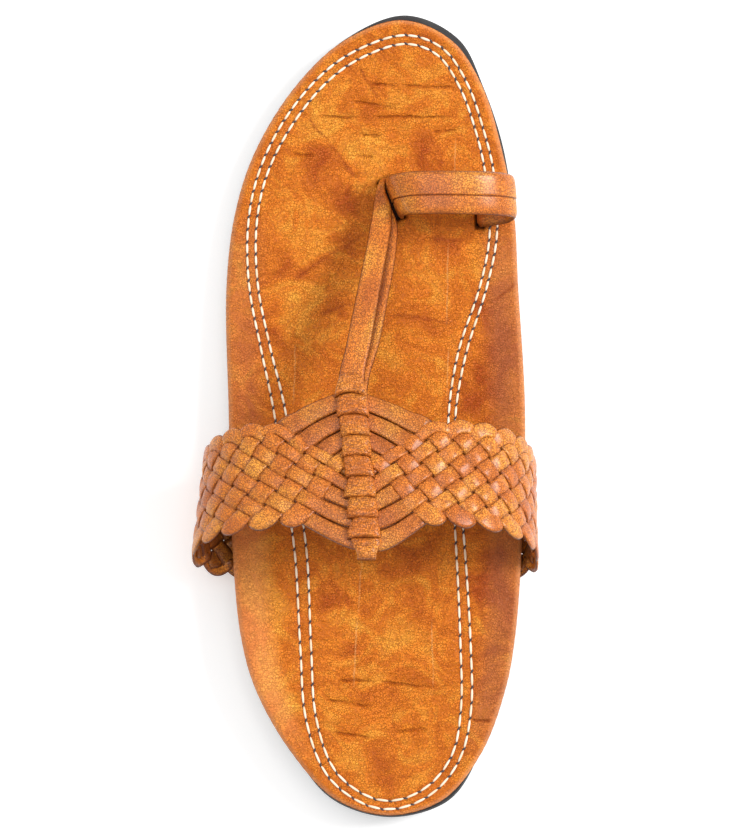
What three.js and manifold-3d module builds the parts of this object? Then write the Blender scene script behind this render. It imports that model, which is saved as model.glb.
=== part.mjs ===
// A toe-loop leather sandal for the left foot, in millimetres.
// +Y points to the toe, +X to the big-toe side and +Z up.
// A rubber outsole carries a leather footbed, and a plaited instep band, a centre strap and a toe loop
// are joined into one upper whose ends go under the footbed and into its slits.
import * as THREE from "three";
import { mergeVertices } from "three/addons/utils/BufferGeometryUtils.js";
import Module from "manifold-3d";

const wasm = await Module();
wasm.setup();

// Driving dimensions
const SEAT_GAP = 0.3; // clearance between pieces that touch on the real sandal
const FOOTBED_THICK = 5;
const WING_CURL = 2.6; // how far the free edges of the footbed curl up at the waist
const SOLE_STATIONS = 46;
const EDGE_SAMPLES = 240;
const WALL = 2.2; // two layers of strap leather
const STRIP_RAISE = 0.6; // how far each strip of the plait stands proud of the wall
const FRONT_STRIPS = 4; // strips that leave the front half of the spine on each side
const BACK_STRIPS = 5;
const MIDDLE_STEP = 0.25; // puts the middle of the nine strips on the middle of the band
const STRIP_RISE = 9; // strip width measured across the band
const STRIP_RUN = 9.7; // and along it
const SPINE_RUN = 1.8; // the strips lie straight under the spine, out to here
const CELL_STEPS = 3; // facets along one side of a crossing
const DIAMOND_PINCH = 0.745; // the plait is drawn together at the spine
const SCALLOP = 1.2; // how far the folds at the edges stand out
const WRAP_COUNT = 9;
const WRAP_PITCH = 7.3;
const WRAP_LENGTH = 6.6;
const WRAP_HALF_WIDTH = 4.9;
const WRAP_CROWN = 2.4;
const LOOP_WIDTH = 15.2;
const SLIT_CLEAR = 0.35;

// Height of the sole along the foot: its lower face and its upper face.
const SOLE_PROFILE = [
  { along: -143, floor: 2.4, top: 15.6 },
  { along: -128, floor: 0, top: 15.2 },
  { along: -100, floor: 0, top: 15 },
  { along: -76, floor: 0, top: 14.4 },
  { along: -62, floor: 4.6, top: 13.6 },
  { along: -34, floor: 5.4, top: 11.8 },
  { along: -2, floor: 3.2, top: 9.6 },
  { along: 26, floor: 0, top: 8 },
  { along: 60, floor: 0, top: 7.2 },
  { along: 96, floor: 0, top: 7.2 },
  { along: 120, floor: 2.2, top: 8.8 },
  { along: 143, floor: 7, top: 12.6 },
];

// Edges of the rubber outsole in plan, from heel tip to toe tip: it is waisted under the footbed.
const OUTSOLE_PLAN = [
  { along: -142.4, lateral: 9, medial: 9 },
  { along: -137, lateral: -10.5, medial: 28.6 },
  { along: -126, lateral: -21.3, medial: 37.4 },
  { along: -108, lateral: -28.2, medial: 42 },
  { along: -76, lateral: -29.2, medial: 41 },
  { along: -36, lateral: -32.5, medial: 38.2 },
  { along: 6, lateral: -38.8, medial: 39.6 },
  { along: 40, lateral: -45, medial: 48.8 },
  { along: 68, lateral: -46.8, medial: 52.3 },
  { along: 94, lateral: -39.6, medial: 49.4 },
  { along: 117, lateral: -25.2, medial: 42 },
  { along: 134, lateral: -7.4, medial: 33 },
  { along: 142.4, lateral: 14, medial: 14 },
];

// Edges of the leather footbed in plan: straight sided, with wings that overhang the sole's waist.
const FOOTBED_PLAN = [
  { along: -141.2, lateral: 8, medial: 8 },
  { along: -135.5, lateral: -10.8, medial: 27.4 },
  { along: -119, lateral: -26.4, medial: 40.9 },
  { along: -97, lateral: -38.9, medial: 49.2 },
  { along: -78, lateral: -44.2, medial: 52.7 },
  { along: -40, lateral: -47.6, medial: 55.4 },
  { along: 2, lateral: -48.7, medial: 56.4 },
  { along: 46, lateral: -49.6, medial: 54.1 },
  { along: 72, lateral: -46.6, medial: 52.7 },
  { along: 94, lateral: -39.5, medial: 48.5 },
  { along: 117, lateral: -25.2, medial: 41.4 },
  { along: 133, lateral: -8, medial: 30.6 },
  { along: 140.3, lateral: 13, medial: 13 },
];

// The instep band across the foot, from its lateral tail to its medial tail: the middle of the wall,
// and the lean of its cross direction (flare inwards, dip downwards, per millimetre towards the toe).
const BAND_TOP = { y: -18, z: 56 };
const BAND_LEAN = 0.45; // the band leans forward as it rises
const BAND_ARCH = [
  { x: -35.8, z: 10.4, flare: 0.02, dip: -0.065 },
  { x: -45.6, z: 11.2, flare: 0.04, dip: -0.065 },
  { x: -53.4, z: 14.8, flare: 0.06, dip: -0.08 },
  { x: -57.4, z: 22.4, flare: 0.1, dip: -0.12 },
  { x: -57.2, z: 31, flare: 0.12, dip: -0.18 },
  { x: -53.2, z: 40, flare: 0.11, dip: -0.24 },
  { x: -44, z: 48, flare: 0.06, dip: -0.28 },
  { x: -30, z: 53, flare: 0, dip: -0.3 },
  { x: -16, z: 55.4, flare: -0.05, dip: -0.31 },
  { x: -2.6, z: 56, flare: -0.1, dip: -0.31 },
  { x: 14, z: 55.4, flare: -0.08, dip: -0.31 },
  { x: 30, z: 53.2, flare: -0.06, dip: -0.3 },
  { x: 44.6, z: 48.2, flare: -0.05, dip: -0.28 },
  { x: 53.6, z: 40, flare: -0.06, dip: -0.24 },
  { x: 57.6, z: 31, flare: -0.05, dip: -0.18 },
  { x: 58.7, z: 23, flare: -0.03, dip: -0.12 },
  { x: 58.8, z: 15.8, flare: 0, dip: -0.08 },
  { x: 53, z: 11.2, flare: 0, dip: -0.065 },
  { x: 46, z: 10.4, flare: 0, dip: -0.065 },
];
const SPINE_ROW = 9;

// How far each side of the plait leans outwards, per millimetre towards the toe: beside the spine and beyond.
const PLAIT_LEAN = [
  { side: -1, diamond: 0.38, outer: 0.25 },
  { side: 1, diamond: 0.28, outer: 0.13 },
];
// Runs from the spine in which that lean grows, settles and dies out, and in which the pinch lets go.
const LEAN_GROWS = [0, 12];
const LEAN_SETTLES = [15, 50];
const LEAN_ENDS = [55, 85];
const PINCH_ENDS = { back: [0, 20], front: [10, 27] };
const BACK_TO_FRONT = [-1.5, 1.5]; // in strip widths across the band
const RAISE_GROWS = [0.6, 5]; // from the binding of the spine, where the strips come to stand proud

// The centre strap, from inside the spine to the inner leg of the toe loop.
const CENTRE_STRAP = [
  { x: -4.6, y: 2.8, z: 49.2, width: 9.2 },
  { x: -5, y: 13, z: 45.8, width: 9.2 },
  { x: -2.6, y: 25, z: 41.3, width: 8.8 },
  { x: 0.2, y: 40, z: 35.4, width: 8.4 },
  { x: 3.1, y: 55, z: 29.2, width: 8 },
  { x: 5.4, y: 67, z: 23.8, width: 7.8 },
  { x: 6.2, y: 73.5, z: 21, width: 6.9 },
  { x: 6.1, y: 79, z: 19, width: 4.4 },
  { x: 6.6, y: 82.4, z: 17.2, width: 2.8 },
];

// The toe loop, from its inner slit over the big toe to its outer slit; turn swings its front edge inwards.
const TOE_LOOP = [
  { x: 9.6, y: 77, z: 8.4, turn: 22 },
  { x: 9.3, y: 77.2, z: 18, turn: 22 },
  { x: 10.8, y: 77.6, z: 27.4, turn: 19 },
  { x: 16.4, y: 78, z: 33, turn: 8 },
  { x: 26, y: 78.1, z: 34.8, turn: 0 },
  { x: 37.6, y: 78, z: 34, turn: -1 },
  { x: 47, y: 77.8, z: 30.2, turn: 2 },
  { x: 51.4, y: 77.2, z: 24.4, turn: 5 },
  { x: 49.4, y: 75.8, z: 18.8, turn: 5 },
  { x: 43.6, y: 74.8, z: 16.8, turn: 2 },
  { x: 40.8, y: 74.6, z: 13.8, turn: 0 },
  { x: 40.6, y: 74.6, z: 8.4, turn: 0 },
];

// Colours and finish
const BLACK_RUBBER = { color: 0x22211f, roughness: 0.8, metalness: 0 };
const TAN_LEATHER = { color: 0xc06a1e, roughness: 0.5, metalness: 0 };
const STRAP_LEATHER = { color: 0xb9621f, roughness: 0.45, metalness: 0 };

const lerp = THREE.MathUtils.lerp;
const smoothstep = THREE.MathUtils.smoothstep;
const radians = THREE.MathUtils.degToRad;

// Value of one column of a table, without overshoot, at a place between its rows.
function columnAt(rows, name, along) {
  const last = rows.length - 1;
  const at = THREE.MathUtils.clamp(along, rows[0].along, rows[last].along);
  const grade = (k) =>
    k < 0 || k >= last ? 0 : (rows[k + 1][name] - rows[k][name]) / (rows[k + 1].along - rows[k].along);
  const slope = (k) => {
    const before = grade(k - 1);
    const after = grade(k);
    return before * after <= 0 ? 0 : (2 * before * after) / (before + after);
  };
  let k = 0;
  while (k < last - 1 && rows[k + 1].along < at) k += 1;
  const span = rows[k + 1].along - rows[k].along;
  const f = (at - rows[k].along) / span;
  const rise = f * f * (3 - 2 * f);
  const bulge = f * (1 - f) * span;
  return (
    lerp(rows[k][name], rows[k + 1][name], rise) + bulge * ((1 - f) * slope(k) - f * slope(k + 1))
  );
}

// Points along one edge of a plan, evenly spaced from heel tip to toe tip, smooth round both tips.
function planEdge(plan, side) {
  const edge = plan.map((row) => new THREE.Vector3(row[side], row.along, 0));
  const farSide = side === "lateral" ? "medial" : "lateral";
  const back = plan.slice(1, -1).map((row) => new THREE.Vector3(row[farSide], row.along, 0));
  const outline = new THREE.CatmullRomCurve3([...edge, ...back.reverse()], true, "centripetal");
  const share = (edge.length - 1) / outline.points.length;
  const fine = [];
  for (let k = 0; k <= EDGE_SAMPLES; k += 1) fine.push(outline.getPoint((share * k) / EDGE_SAMPLES));
  return new THREE.CatmullRomCurve3(fine).getSpacedPoints(SOLE_STATIONS);
}

// Distance in plan from a point to the nearer edge of an outline.
function edgeDistance(point, outline) {
  const segment = new THREE.Line3();
  const nearest = new THREE.Vector3();
  let best = Infinity;
  outline.forEach((corner, k) => {
    segment.set(corner, outline[(k + 1) % outline.length]);
    segment.closestPointToPoint(point, true, nearest);
    best = Math.min(best, nearest.distanceTo(point));
  });
  return best;
}

// Geometry from points and triangles, with equal points merged and collapsed triangles dropped.
function meshOf(points, triangles) {
  const positions = new Float32Array(points.flatMap((p) => [p.x, p.y, p.z]));
  const loose = new THREE.BufferGeometry();
  loose.setAttribute("position", new THREE.BufferAttribute(positions, 3));
  loose.setIndex(triangles.flat());
  const merged = mergeVertices(loose, 1e-3);
  const index = merged.index.array;
  const kept = [];
  for (let k = 0; k < index.length; k += 3) {
    const corners = [index[k], index[k + 1], index[k + 2]];
    if (new Set(corners).size === 3) kept.push(...corners);
  }
  merged.setIndex(kept);
  return merged;
}

// A closed skin through rings of equal length; the end rings are capped with a fan.
function loft(rings) {
  const count = rings[0].length;
  const points = rings.flat();
  const triangles = [];
  for (let r = 0; r + 1 < rings.length; r += 1)
    for (let c = 0; c < count; c += 1) {
      const here = r * count + c;
      const next = r * count + ((c + 1) % count);
      triangles.push([here, next, next + count], [here, next + count, here + count]);
    }
  [0, rings.length - 1].forEach((r) => {
    const middle = new THREE.Vector3();
    rings[r].forEach((p) => middle.addScaledVector(p, 1 / count));
    points.push(middle);
    for (let c = 0; c < count; c += 1) {
      const edge = [r * count + c, r * count + ((c + 1) % count)];
      triangles.push([points.length - 1, ...(r === 0 ? edge.reverse() : edge)]);
    }
  });
  return meshOf(points, triangles);
}

function toSolid(geometry) {
  return new wasm.Manifold(
    new wasm.Mesh({
      numProp: 3,
      vertProperties: geometry.getAttribute("position").array,
      triVerts: new Uint32Array(geometry.index.array),
    }),
  );
}

function toGeometry(solid) {
  const mesh = solid.getMesh();
  const geometry = new THREE.BufferGeometry();
  geometry.setAttribute("position", new THREE.BufferAttribute(mesh.vertProperties, 3));
  geometry.setIndex(new THREE.BufferAttribute(mesh.triVerts, 1));
  geometry.computeVertexNormals();
  return geometry;
}

// Outsole: one rubber moulding with flat tread under heel and ball, a raised waist and a sprung toe.
// Each ring row gives a place across the sole, an inset from its edge and a share of its height.
const OUTSOLE_RING = [
  { across: -1, inset: 0.8, height: 1 },
  { across: 0, inset: 0.8, height: 1 },
  { across: 1, inset: 0.8, height: 1 },
  { across: 1, inset: 0, height: 0.86 },
  { across: 1, inset: 0.2, height: 0.3 },
  { across: 1, inset: 1.6, height: 0 },
  { across: 0, inset: 1.6, height: 0 },
  { across: -1, inset: 1.6, height: 0 },
  { across: -1, inset: 0.2, height: 0.3 },
  { across: -1, inset: 0, height: 0.86 },
];

function outsole() {
  const lateral = planEdge(OUTSOLE_PLAN, "lateral");
  const medial = planEdge(OUTSOLE_PLAN, "medial");
  const centre = new THREE.Vector3(4, 0, 0);
  const rings = lateral.map((left, k) => {
    const right = medial[k];
    return OUTSOLE_RING.map(({ across, inset, height }) => {
      const point = left.clone().lerp(right, (across + 1) / 2);
      const inward = centre.clone().setY(point.y * 0.7).sub(point).setLength(inset);
      if (inset > 0) point.add(inward);
      const floor = columnAt(SOLE_PROFILE, "floor", point.y);
      const top = columnAt(SOLE_PROFILE, "top", point.y);
      return point.setZ(lerp(floor, top, height));
    });
  });
  return loft(rings);
}

// Footbed: a leather-covered plate with a rolled edge that lies on the sole.
const FOOTBED_ACROSS = [-1, -0.985, -0.945, -0.84, -0.62, -0.32, 0, 0.32, 0.62, 0.84, 0.945, 0.985, 1];

function wingLift(along, across) {
  const waist = smoothstep(along, -118, -60) * (1 - smoothstep(along, 10, 74));
  return WING_CURL * waist * smoothstep(Math.abs(across), 0.5, 1.05) ** 1.5;
}

function footbedMiddle(along, across) {
  const seat = columnAt(SOLE_PROFILE, "top", along) + SEAT_GAP;
  return seat + FOOTBED_THICK / 2 + wingLift(along, across);
}

function footbedPlate() {
  const lateral = planEdge(FOOTBED_PLAN, "lateral");
  const medial = planEdge(FOOTBED_PLAN, "medial");
  const outline = [...lateral, ...medial.slice(1, -1).reverse()];
  const half = FOOTBED_THICK / 2;
  const face = (side) => (left, k) =>
    FOOTBED_ACROSS.map((across) => {
      const point = left.clone().lerp(medial[k], (across + 1) / 2);
      const inset = Math.min(edgeDistance(point, outline) / half, 1);
      const roll = Math.sqrt(1 - (1 - inset) ** 2);
      return point.setZ(footbedMiddle(point.y, across) + side * half * roll);
    });
  const upper = lateral.map(face(1));
  const lower = lateral.map(face(-1));
  return loft(upper.map((row, k) => [...row, ...lower[k].slice(1, -1).reverse()]));
}

// A strap of rectangular section along rows of centres; each row also gives its half width across.
function strap(rows, thickness, steps) {
  const centres = new THREE.CatmullRomCurve3(rows.map((row) => new THREE.Vector3(row.x, row.y, row.z)));
  const halves = new THREE.CatmullRomCurve3(rows.map((row) => row.half));
  const rings = [];
  for (let k = 0; k <= steps; k += 1) {
    const at = k / steps;
    const centre = centres.getPoint(at);
    const half = halves.getPoint(at);
    const out = half.clone().cross(centres.getTangent(at)).setLength(thickness / 2);
    rings.push(
      [
        [-1, -1],
        [-1, 1],
        [1, 1],
        [1, -1],
      ].map(([across, up]) => centre.clone().addScaledVector(half, across).addScaledVector(out, up)),
    );
  }
  return loft(rings);
}

function centreStrap() {
  const rows = CENTRE_STRAP.map((row) => ({ ...row, half: new THREE.Vector3(row.width / 2, 0.6, 0) }));
  return strap(rows, WALL, 21);
}

function loopHalf(turn, width) {
  return new THREE.Vector3(-Math.sin(radians(turn)), Math.cos(radians(turn)), 0).setLength(width / 2);
}

function toeLoop() {
  const rows = TOE_LOOP.map((row) => ({ ...row, half: loopHalf(row.turn, LOOP_WIDTH) }));
  return strap(rows, WALL, 33);
}

// Slits in the footbed for the two legs of the toe loop, a little wider than the legs.
function legSlit(leg) {
  const width = WALL + 2 * SLIT_CLEAR;
  const box = new THREE.BoxGeometry(width, LOOP_WIDTH + 2 * SLIT_CLEAR, 4 * FOOTBED_THICK);
  box.deleteAttribute("normal");
  box.deleteAttribute("uv");
  box.rotateZ(radians(leg.turn));
  box.translate(leg.x, leg.y, leg.z + FOOTBED_THICK / 2);
  return mergeVertices(box);
}

function footbed() {
  const inner = toSolid(legSlit(TOE_LOOP[0]));
  const outer = toSolid(legSlit(TOE_LOOP[TOE_LOOP.length - 1]));
  return toGeometry(toSolid(footbedPlate()).subtract(inner).subtract(outer));
}

// Surface of the instep band: run is measured along the band from the spine, rise across it towards the toe.
const bandCentre = new THREE.CatmullRomCurve3(
  BAND_ARCH.map((row) => new THREE.Vector3(row.x, BAND_TOP.y - BAND_LEAN * (BAND_TOP.z - row.z), row.z)),
);
const bandAcross = new THREE.CatmullRomCurve3(
  BAND_ARCH.map((row) => new THREE.Vector3(row.flare, Math.sqrt(1 - row.flare ** 2 - row.dip ** 2), row.dip)),
);
const ARC_STEPS = 100 * (BAND_ARCH.length - 1);
bandCentre.arcLengthDivisions = ARC_STEPS;
const bandLength = bandCentre.getLength();
const lateralRun = bandCentre.getLengths(ARC_STEPS)[100 * SPINE_ROW];
const medialRun = bandLength - lateralRun;

function bandPoint(run, rise, lift) {
  const along = THREE.MathUtils.clamp((lateralRun + run) / bandLength, 0, 1);
  const at = bandCentre.getUtoTmapping(along);
  const across = bandAcross.getPoint(at).normalize();
  const out = bandCentre.getTangent(at).cross(across).normalize();
  return bandCentre.getPoint(at).addScaledVector(across, rise).addScaledVector(out, lift);
}

// The plait is a lattice: one family of strips keeps its value of p, the other its value of q.
// Its front edge is the fold p - q = FRONT_STRIPS, its back edge the fold q - p = BACK_STRIPS.
function plaitLean(run, side) {
  const { diamond, outer } = PLAIT_LEAN.find((row) => row.side === side);
  const full = lerp(diamond, outer, smoothstep(run, ...LEAN_SETTLES));
  return full * smoothstep(run, ...LEAN_GROWS) * (1 - smoothstep(run, ...LEAN_ENDS));
}

function plaitPlace(p, q, side) {
  const middle = (p + q) / 2;
  const step = (p - q) / 2 + MIDDLE_STEP;
  const run = middle * STRIP_RUN + SPINE_RUN * smoothstep(middle, 0, 1);
  const front = smoothstep(step, ...BACK_TO_FRONT);
  const zone = PINCH_ENDS.back.map((back, k) => lerp(back, PINCH_ENDS.front[k], front));
  const pinch = lerp(DIAMOND_PINCH, 1, smoothstep(run, ...zone));
  const nearFold = Math.max(p - q - FRONT_STRIPS, q - p - BACK_STRIPS) + 1;
  const fold = SCALLOP * THREE.MathUtils.clamp(nearFold, 0, 1) * (Math.sin(Math.PI * p) ** 2 - 0.5);
  const rise = step * STRIP_RISE * pinch + Math.sign(step) * fold;
  const length = side < 0 ? lateralRun : medialRun;
  return { run: Math.min(run + plaitLean(run, side) * rise, length), rise };
}

function stripRaise(p, q, run) {
  const crown = Math.sin(Math.PI * (p - Math.floor(p))) * Math.sin(Math.PI * (q - Math.floor(q)));
  const clearOfSpine = smoothstep(run - WRAP_HALF_WIDTH, ...RAISE_GROWS);
  return STRIP_RAISE * Math.sqrt(Math.max(crown, 0)) * clearOfSpine;
}

// Lattice triangles of one side of the band, from the spine to the tail, with straight edges along the plait.
function latticeTriangles(run, n) {
  const crossings = Math.floor((2 * run) / STRIP_RUN);
  const far = n * (crossings - (crossings % 2));
  const front = FRONT_STRIPS * n;
  const back = BACK_STRIPS * n;
  const inside = ([a, b]) =>
    a + b >= 0 && a + b <= far && (a <= front || a - b <= front) && (b <= back || b - a <= back);
  const triangles = [];
  for (let a = -back; a < far + front; a += 1)
    for (let b = -front; b < far + back; b += 1) {
      const [low, right, top, left] = [[a, b], [a + 1, b], [a + 1, b + 1], [a, b + 1]];
      const edged = a + b + 1 === 0 || a + b + 1 === far;
      const pair = edged ? [[low, right, left], [right, top, left]] : [[low, right, top], [low, top, left]];
      triangles.push(...pair.filter((corners) => corners.every(inside)));
    }
  return triangles;
}

// The band as one wall: a finely stepped upper face with its strips raised, a plain lower face and a rim.
function wovenBand() {
  const points = [];
  const triangles = [];
  const numbers = new Map();
  const number = (face, side, [a, b]) => {
    const key = [face, a + b === 0 ? 0 : side, a, b].join();
    const p = a / CELL_STEPS;
    const q = b / CELL_STEPS;
    const { run, rise } = plaitPlace(p, q, side);
    const lift = face === "upper" ? WALL / 2 + stripRaise(p, q, run) : -WALL / 2;
    if (!numbers.has(key)) numbers.set(key, points.push(bandPoint(side * run, rise, lift)) - 1);
    return numbers.get(key);
  };
  const turned = (side, corners) => (side > 0 ? corners.toReversed() : corners);
  const rim = new Map();
  [-1, 1].forEach((side) => {
    const run = side < 0 ? lateralRun : medialRun;
    latticeTriangles(run, CELL_STEPS).forEach((corners) => {
      const order = turned(side, corners);
      triangles.push(order.map((corner) => number("upper", side, corner)));
      order.forEach((from, k) => {
        const to = order[(k + 1) % 3];
        const [start, stop] = [number("upper", side, from), number("upper", side, to)];
        if (!rim.delete(stop + ":" + start)) rim.set(start + ":" + stop, { side, start, stop, to });
      });
    });
    latticeTriangles(run, 1).forEach((corners) => {
      const scaled = corners.map(([a, b]) => [a * CELL_STEPS, b * CELL_STEPS]);
      triangles.push(turned(-side, scaled).map((corner) => number("lower", side, corner)));
    });
  });
  // The rim is walked once round; each step is closed to the last whole crossing that was passed.
  const isWhole = ({ to }) => to.every((step) => step % CELL_STEPS === 0);
  const next = new Map([...rim.values()].map((edge) => [edge.start, edge]));
  const first = [...rim.values()].find(isWhole);
  let anchor = number("lower", first.side, first.to);
  for (let edge = next.get(first.stop), left = rim.size; left > 0; edge = next.get(edge.stop), left -= 1) {
    triangles.push([edge.stop, edge.start, anchor]);
    if (isWhole(edge)) {
      const corner = number("lower", edge.side, edge.to);
      triangles.push([edge.stop, anchor, corner]);
      anchor = corner;
    }
  }
  return meshOf(points, triangles);
}

function upper() {
  return toGeometry(toSolid(wovenBand()).add(toSolid(centreStrap()).add(toSolid(toeLoop()))));
}

// Binding of the spine: crowned wraps across it, each rounded off at its front and back.
const WRAP_ENDS = [
  { along: -0.5, fullness: 0.35 },
  { along: -0.34, fullness: 0.82 },
  { along: 0, fullness: 1 },
  { along: 0.34, fullness: 0.82 },
  { along: 0.5, fullness: 0.35 },
];
const WRAP_ARC_STEPS = 6;

function spineWrap(order) {
  const middle = ((WRAP_COUNT - 1) / 2 - order) * WRAP_PITCH;
  const base = WALL / 2 + SEAT_GAP;
  const rings = WRAP_ENDS.map(({ along, fullness }) => {
    const rise = middle + along * WRAP_LENGTH;
    const ring = [];
    for (let k = 0; k <= WRAP_ARC_STEPS; k += 1) {
      const turn = (Math.PI * k) / WRAP_ARC_STEPS;
      const run = -WRAP_HALF_WIDTH * Math.cos(turn) * lerp(0.9, 1, fullness);
      ring.push(bandPoint(run, rise, base + WRAP_CROWN * fullness * Math.sin(turn)));
    }
    return ring;
  });
  return loft(rings);
}

function piece(name, geometry, finish) {
  const mesh = new THREE.Mesh(geometry, new THREE.MeshStandardMaterial(finish));
  mesh.name = name;
  return mesh;
}

// Assembly, set with the middle of its footprint on the origin and its tread on the floor
const sandal = new THREE.Group();
sandal.add(piece("outsole", outsole(), BLACK_RUBBER));
sandal.add(piece("footbed", footbed(), TAN_LEATHER));
sandal.add(piece("upper", upper(), STRAP_LEATHER));
for (let order = 0; order < WRAP_COUNT; order += 1)
  sandal.add(piece("spine_wrap_" + (order + 1), spineWrap(order), STRAP_LEATHER));
const reach = new THREE.Box3().setFromObject(sandal);
const footprint = reach.getCenter(new THREE.Vector3());
sandal.position.set(-footprint.x, -footprint.y, -reach.min.z);

export default sandal;
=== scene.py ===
# %% [markdown]
# # A plaited toe-loop sandal for the left foot
# The sandal has a black rubber outsole, a tan leather footbed sewn to it with two rows of cream
# thread, and an upper of leather straps: a plaited band over the instep, a bound spine down the
# middle of the band, a centre strap and a toe loop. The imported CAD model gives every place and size.

# %% Load the frame
import math
import bpy
import numpy as np
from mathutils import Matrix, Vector
from mathutils.kdtree import KDTree


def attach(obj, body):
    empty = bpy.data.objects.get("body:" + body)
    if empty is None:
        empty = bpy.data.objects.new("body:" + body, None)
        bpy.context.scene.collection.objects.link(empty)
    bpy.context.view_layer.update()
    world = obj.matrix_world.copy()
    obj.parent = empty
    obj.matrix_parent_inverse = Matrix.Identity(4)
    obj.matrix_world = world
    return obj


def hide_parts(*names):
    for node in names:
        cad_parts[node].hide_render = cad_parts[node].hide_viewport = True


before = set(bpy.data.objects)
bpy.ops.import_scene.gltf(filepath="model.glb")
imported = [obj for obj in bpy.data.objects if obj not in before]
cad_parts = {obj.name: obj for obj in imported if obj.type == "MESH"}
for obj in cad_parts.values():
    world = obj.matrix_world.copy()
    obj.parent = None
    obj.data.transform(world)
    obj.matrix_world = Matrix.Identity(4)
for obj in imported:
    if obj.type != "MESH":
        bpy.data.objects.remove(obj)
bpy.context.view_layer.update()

MM = 0.001
MIDDLE_SHIFT = 0.320  # mm; the CAD model stands with the middle of its footprint on the origin

# %% [markdown]
# The photograph looks straight down with the toe up, from far enough that the sides of the shoe
# hardly lean. A long lens high above the floor gives the same view. Its distance and lens together
# set how many millimetres one pixel covers at the height of the footbed.

# %% Camera
PICTURE_HEIGHT = 832  # pixels
PIXEL = 0.354  # mm covered by one pixel at the footbed
FOOTBED_HEIGHT = 17.0
CAMERA_DISTANCE = 1300.0
SENSOR = 24.0

bpy.ops.object.select_all(action="DESELECT")
bpy.ops.object.camera_add(location=(MIDDLE_SHIFT * MM, 0, (FOOTBED_HEIGHT + CAMERA_DISTANCE) * MM))
camera = bpy.context.object
camera.name = "overhead_camera"
camera.data.sensor_fit = "VERTICAL"
camera.data.sensor_height = SENSOR
camera.data.lens = SENSOR * CAMERA_DISTANCE / (PICTURE_HEIGHT * PIXEL)
bpy.context.scene.camera = camera
bpy.context.scene.view_settings.view_transform = "Standard"
print("lens", round(camera.data.lens, 1), "mm")

# %% [markdown]
# The floor is a plain white sheet that glows a little, so that the shadow on it stays faint. Light
# comes from all round, with a broad soft box to the right that brightens the right half of the band
# and the left wing of the footbed, as in the photograph.

# %% Floor and light
WHITE = (1, 1, 1, 1)
PAPER_WHITE = (0.94, 0.94, 0.94, 1)


def wire(tree, node, inputs):
    """Values or other nodes' outputs put on a node's inputs."""
    for name, value in inputs.items():
        if isinstance(value, bpy.types.NodeSocket):
            tree.links.new(value, node.inputs[name])
        else:
            node.inputs[name].default_value = value


def soft_box(name, place, size, power):
    """A square area light that faces the sandal; metres and watts."""
    bpy.ops.object.light_add(type="AREA", location=place)
    light = bpy.context.object
    light.name = name
    light.data.shape = "SQUARE"
    light.data.size = size
    light.data.energy = power
    light.rotation_euler = Vector(place).to_track_quat("Z", "Y").to_euler()


bpy.ops.object.select_all(action="DESELECT")
bpy.ops.mesh.primitive_plane_add(size=6)
floor = bpy.context.object
floor.name = "floor"
paper = bpy.data.materials.new("white_paper")
paper.use_nodes = True
glow = {"Base Color": PAPER_WHITE, "Roughness": 0.9, "Emission Color": WHITE, "Emission Strength": 0.26}
wire(paper.node_tree, paper.node_tree.nodes["Principled BSDF"], glow)
floor.data.materials.append(paper)

soft_box("key_light", place=(1.1, 0.45, 1.15), size=0.55, power=20)
soft_box("top_light", place=(-0.25, 0.5, 1.9), size=1.4, power=13)
world = bpy.data.worlds.new("white_room")
world.use_nodes = True
wire(world.node_tree, world.node_tree.nodes["Background"], {"Color": WHITE, "Strength": 0.6})
bpy.context.scene.world = world

# %% [markdown]
# The soft forms of a shoe follow smooth curves through a few measured rows. A centripetal spline
# passes through every row without loops, and a table column is eased from row to row without
# overshoot.

# %% Helpers for curves
def table(columns, *rows):
    """Rows of numbers with named columns."""
    return [dict(zip(columns.split(), row)) for row in rows]


def smoothstep(value, low, high):
    t = np.clip((np.asarray(value, float) - low) / (high - low), 0, 1)
    return t * t * (3 - 2 * t)


def lerp(a, b, t):
    return a + (b - a) * t


def falling(value, low, high):
    return 1 - smoothstep(value, low, high)


def bell(value, width):
    """1 at 0, falling smoothly to 0 on both sides."""
    return np.exp(-((value / width) ** 2))


def quarter_round(share):
    """Height of a rounded edge, from 0 at its foot to 1 where it ends."""
    return np.sqrt(1 - (1 - np.clip(share, 0, 1)) ** 2)


def unit(vectors):
    return vectors / np.maximum(np.linalg.norm(vectors, axis=-1, keepdims=True), 1e-12)


def run_lengths(points):
    """Length of a polyline from its start to each of its points."""
    return np.concatenate([[0], np.cumsum(np.linalg.norm(np.diff(points, axis=0), axis=1))])


def heading(curve, share):
    """Direction of a curve at a share of it."""
    return curve(np.minimum(share + 1e-3, 1)) - curve(np.maximum(share - 1e-3, 0))


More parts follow.
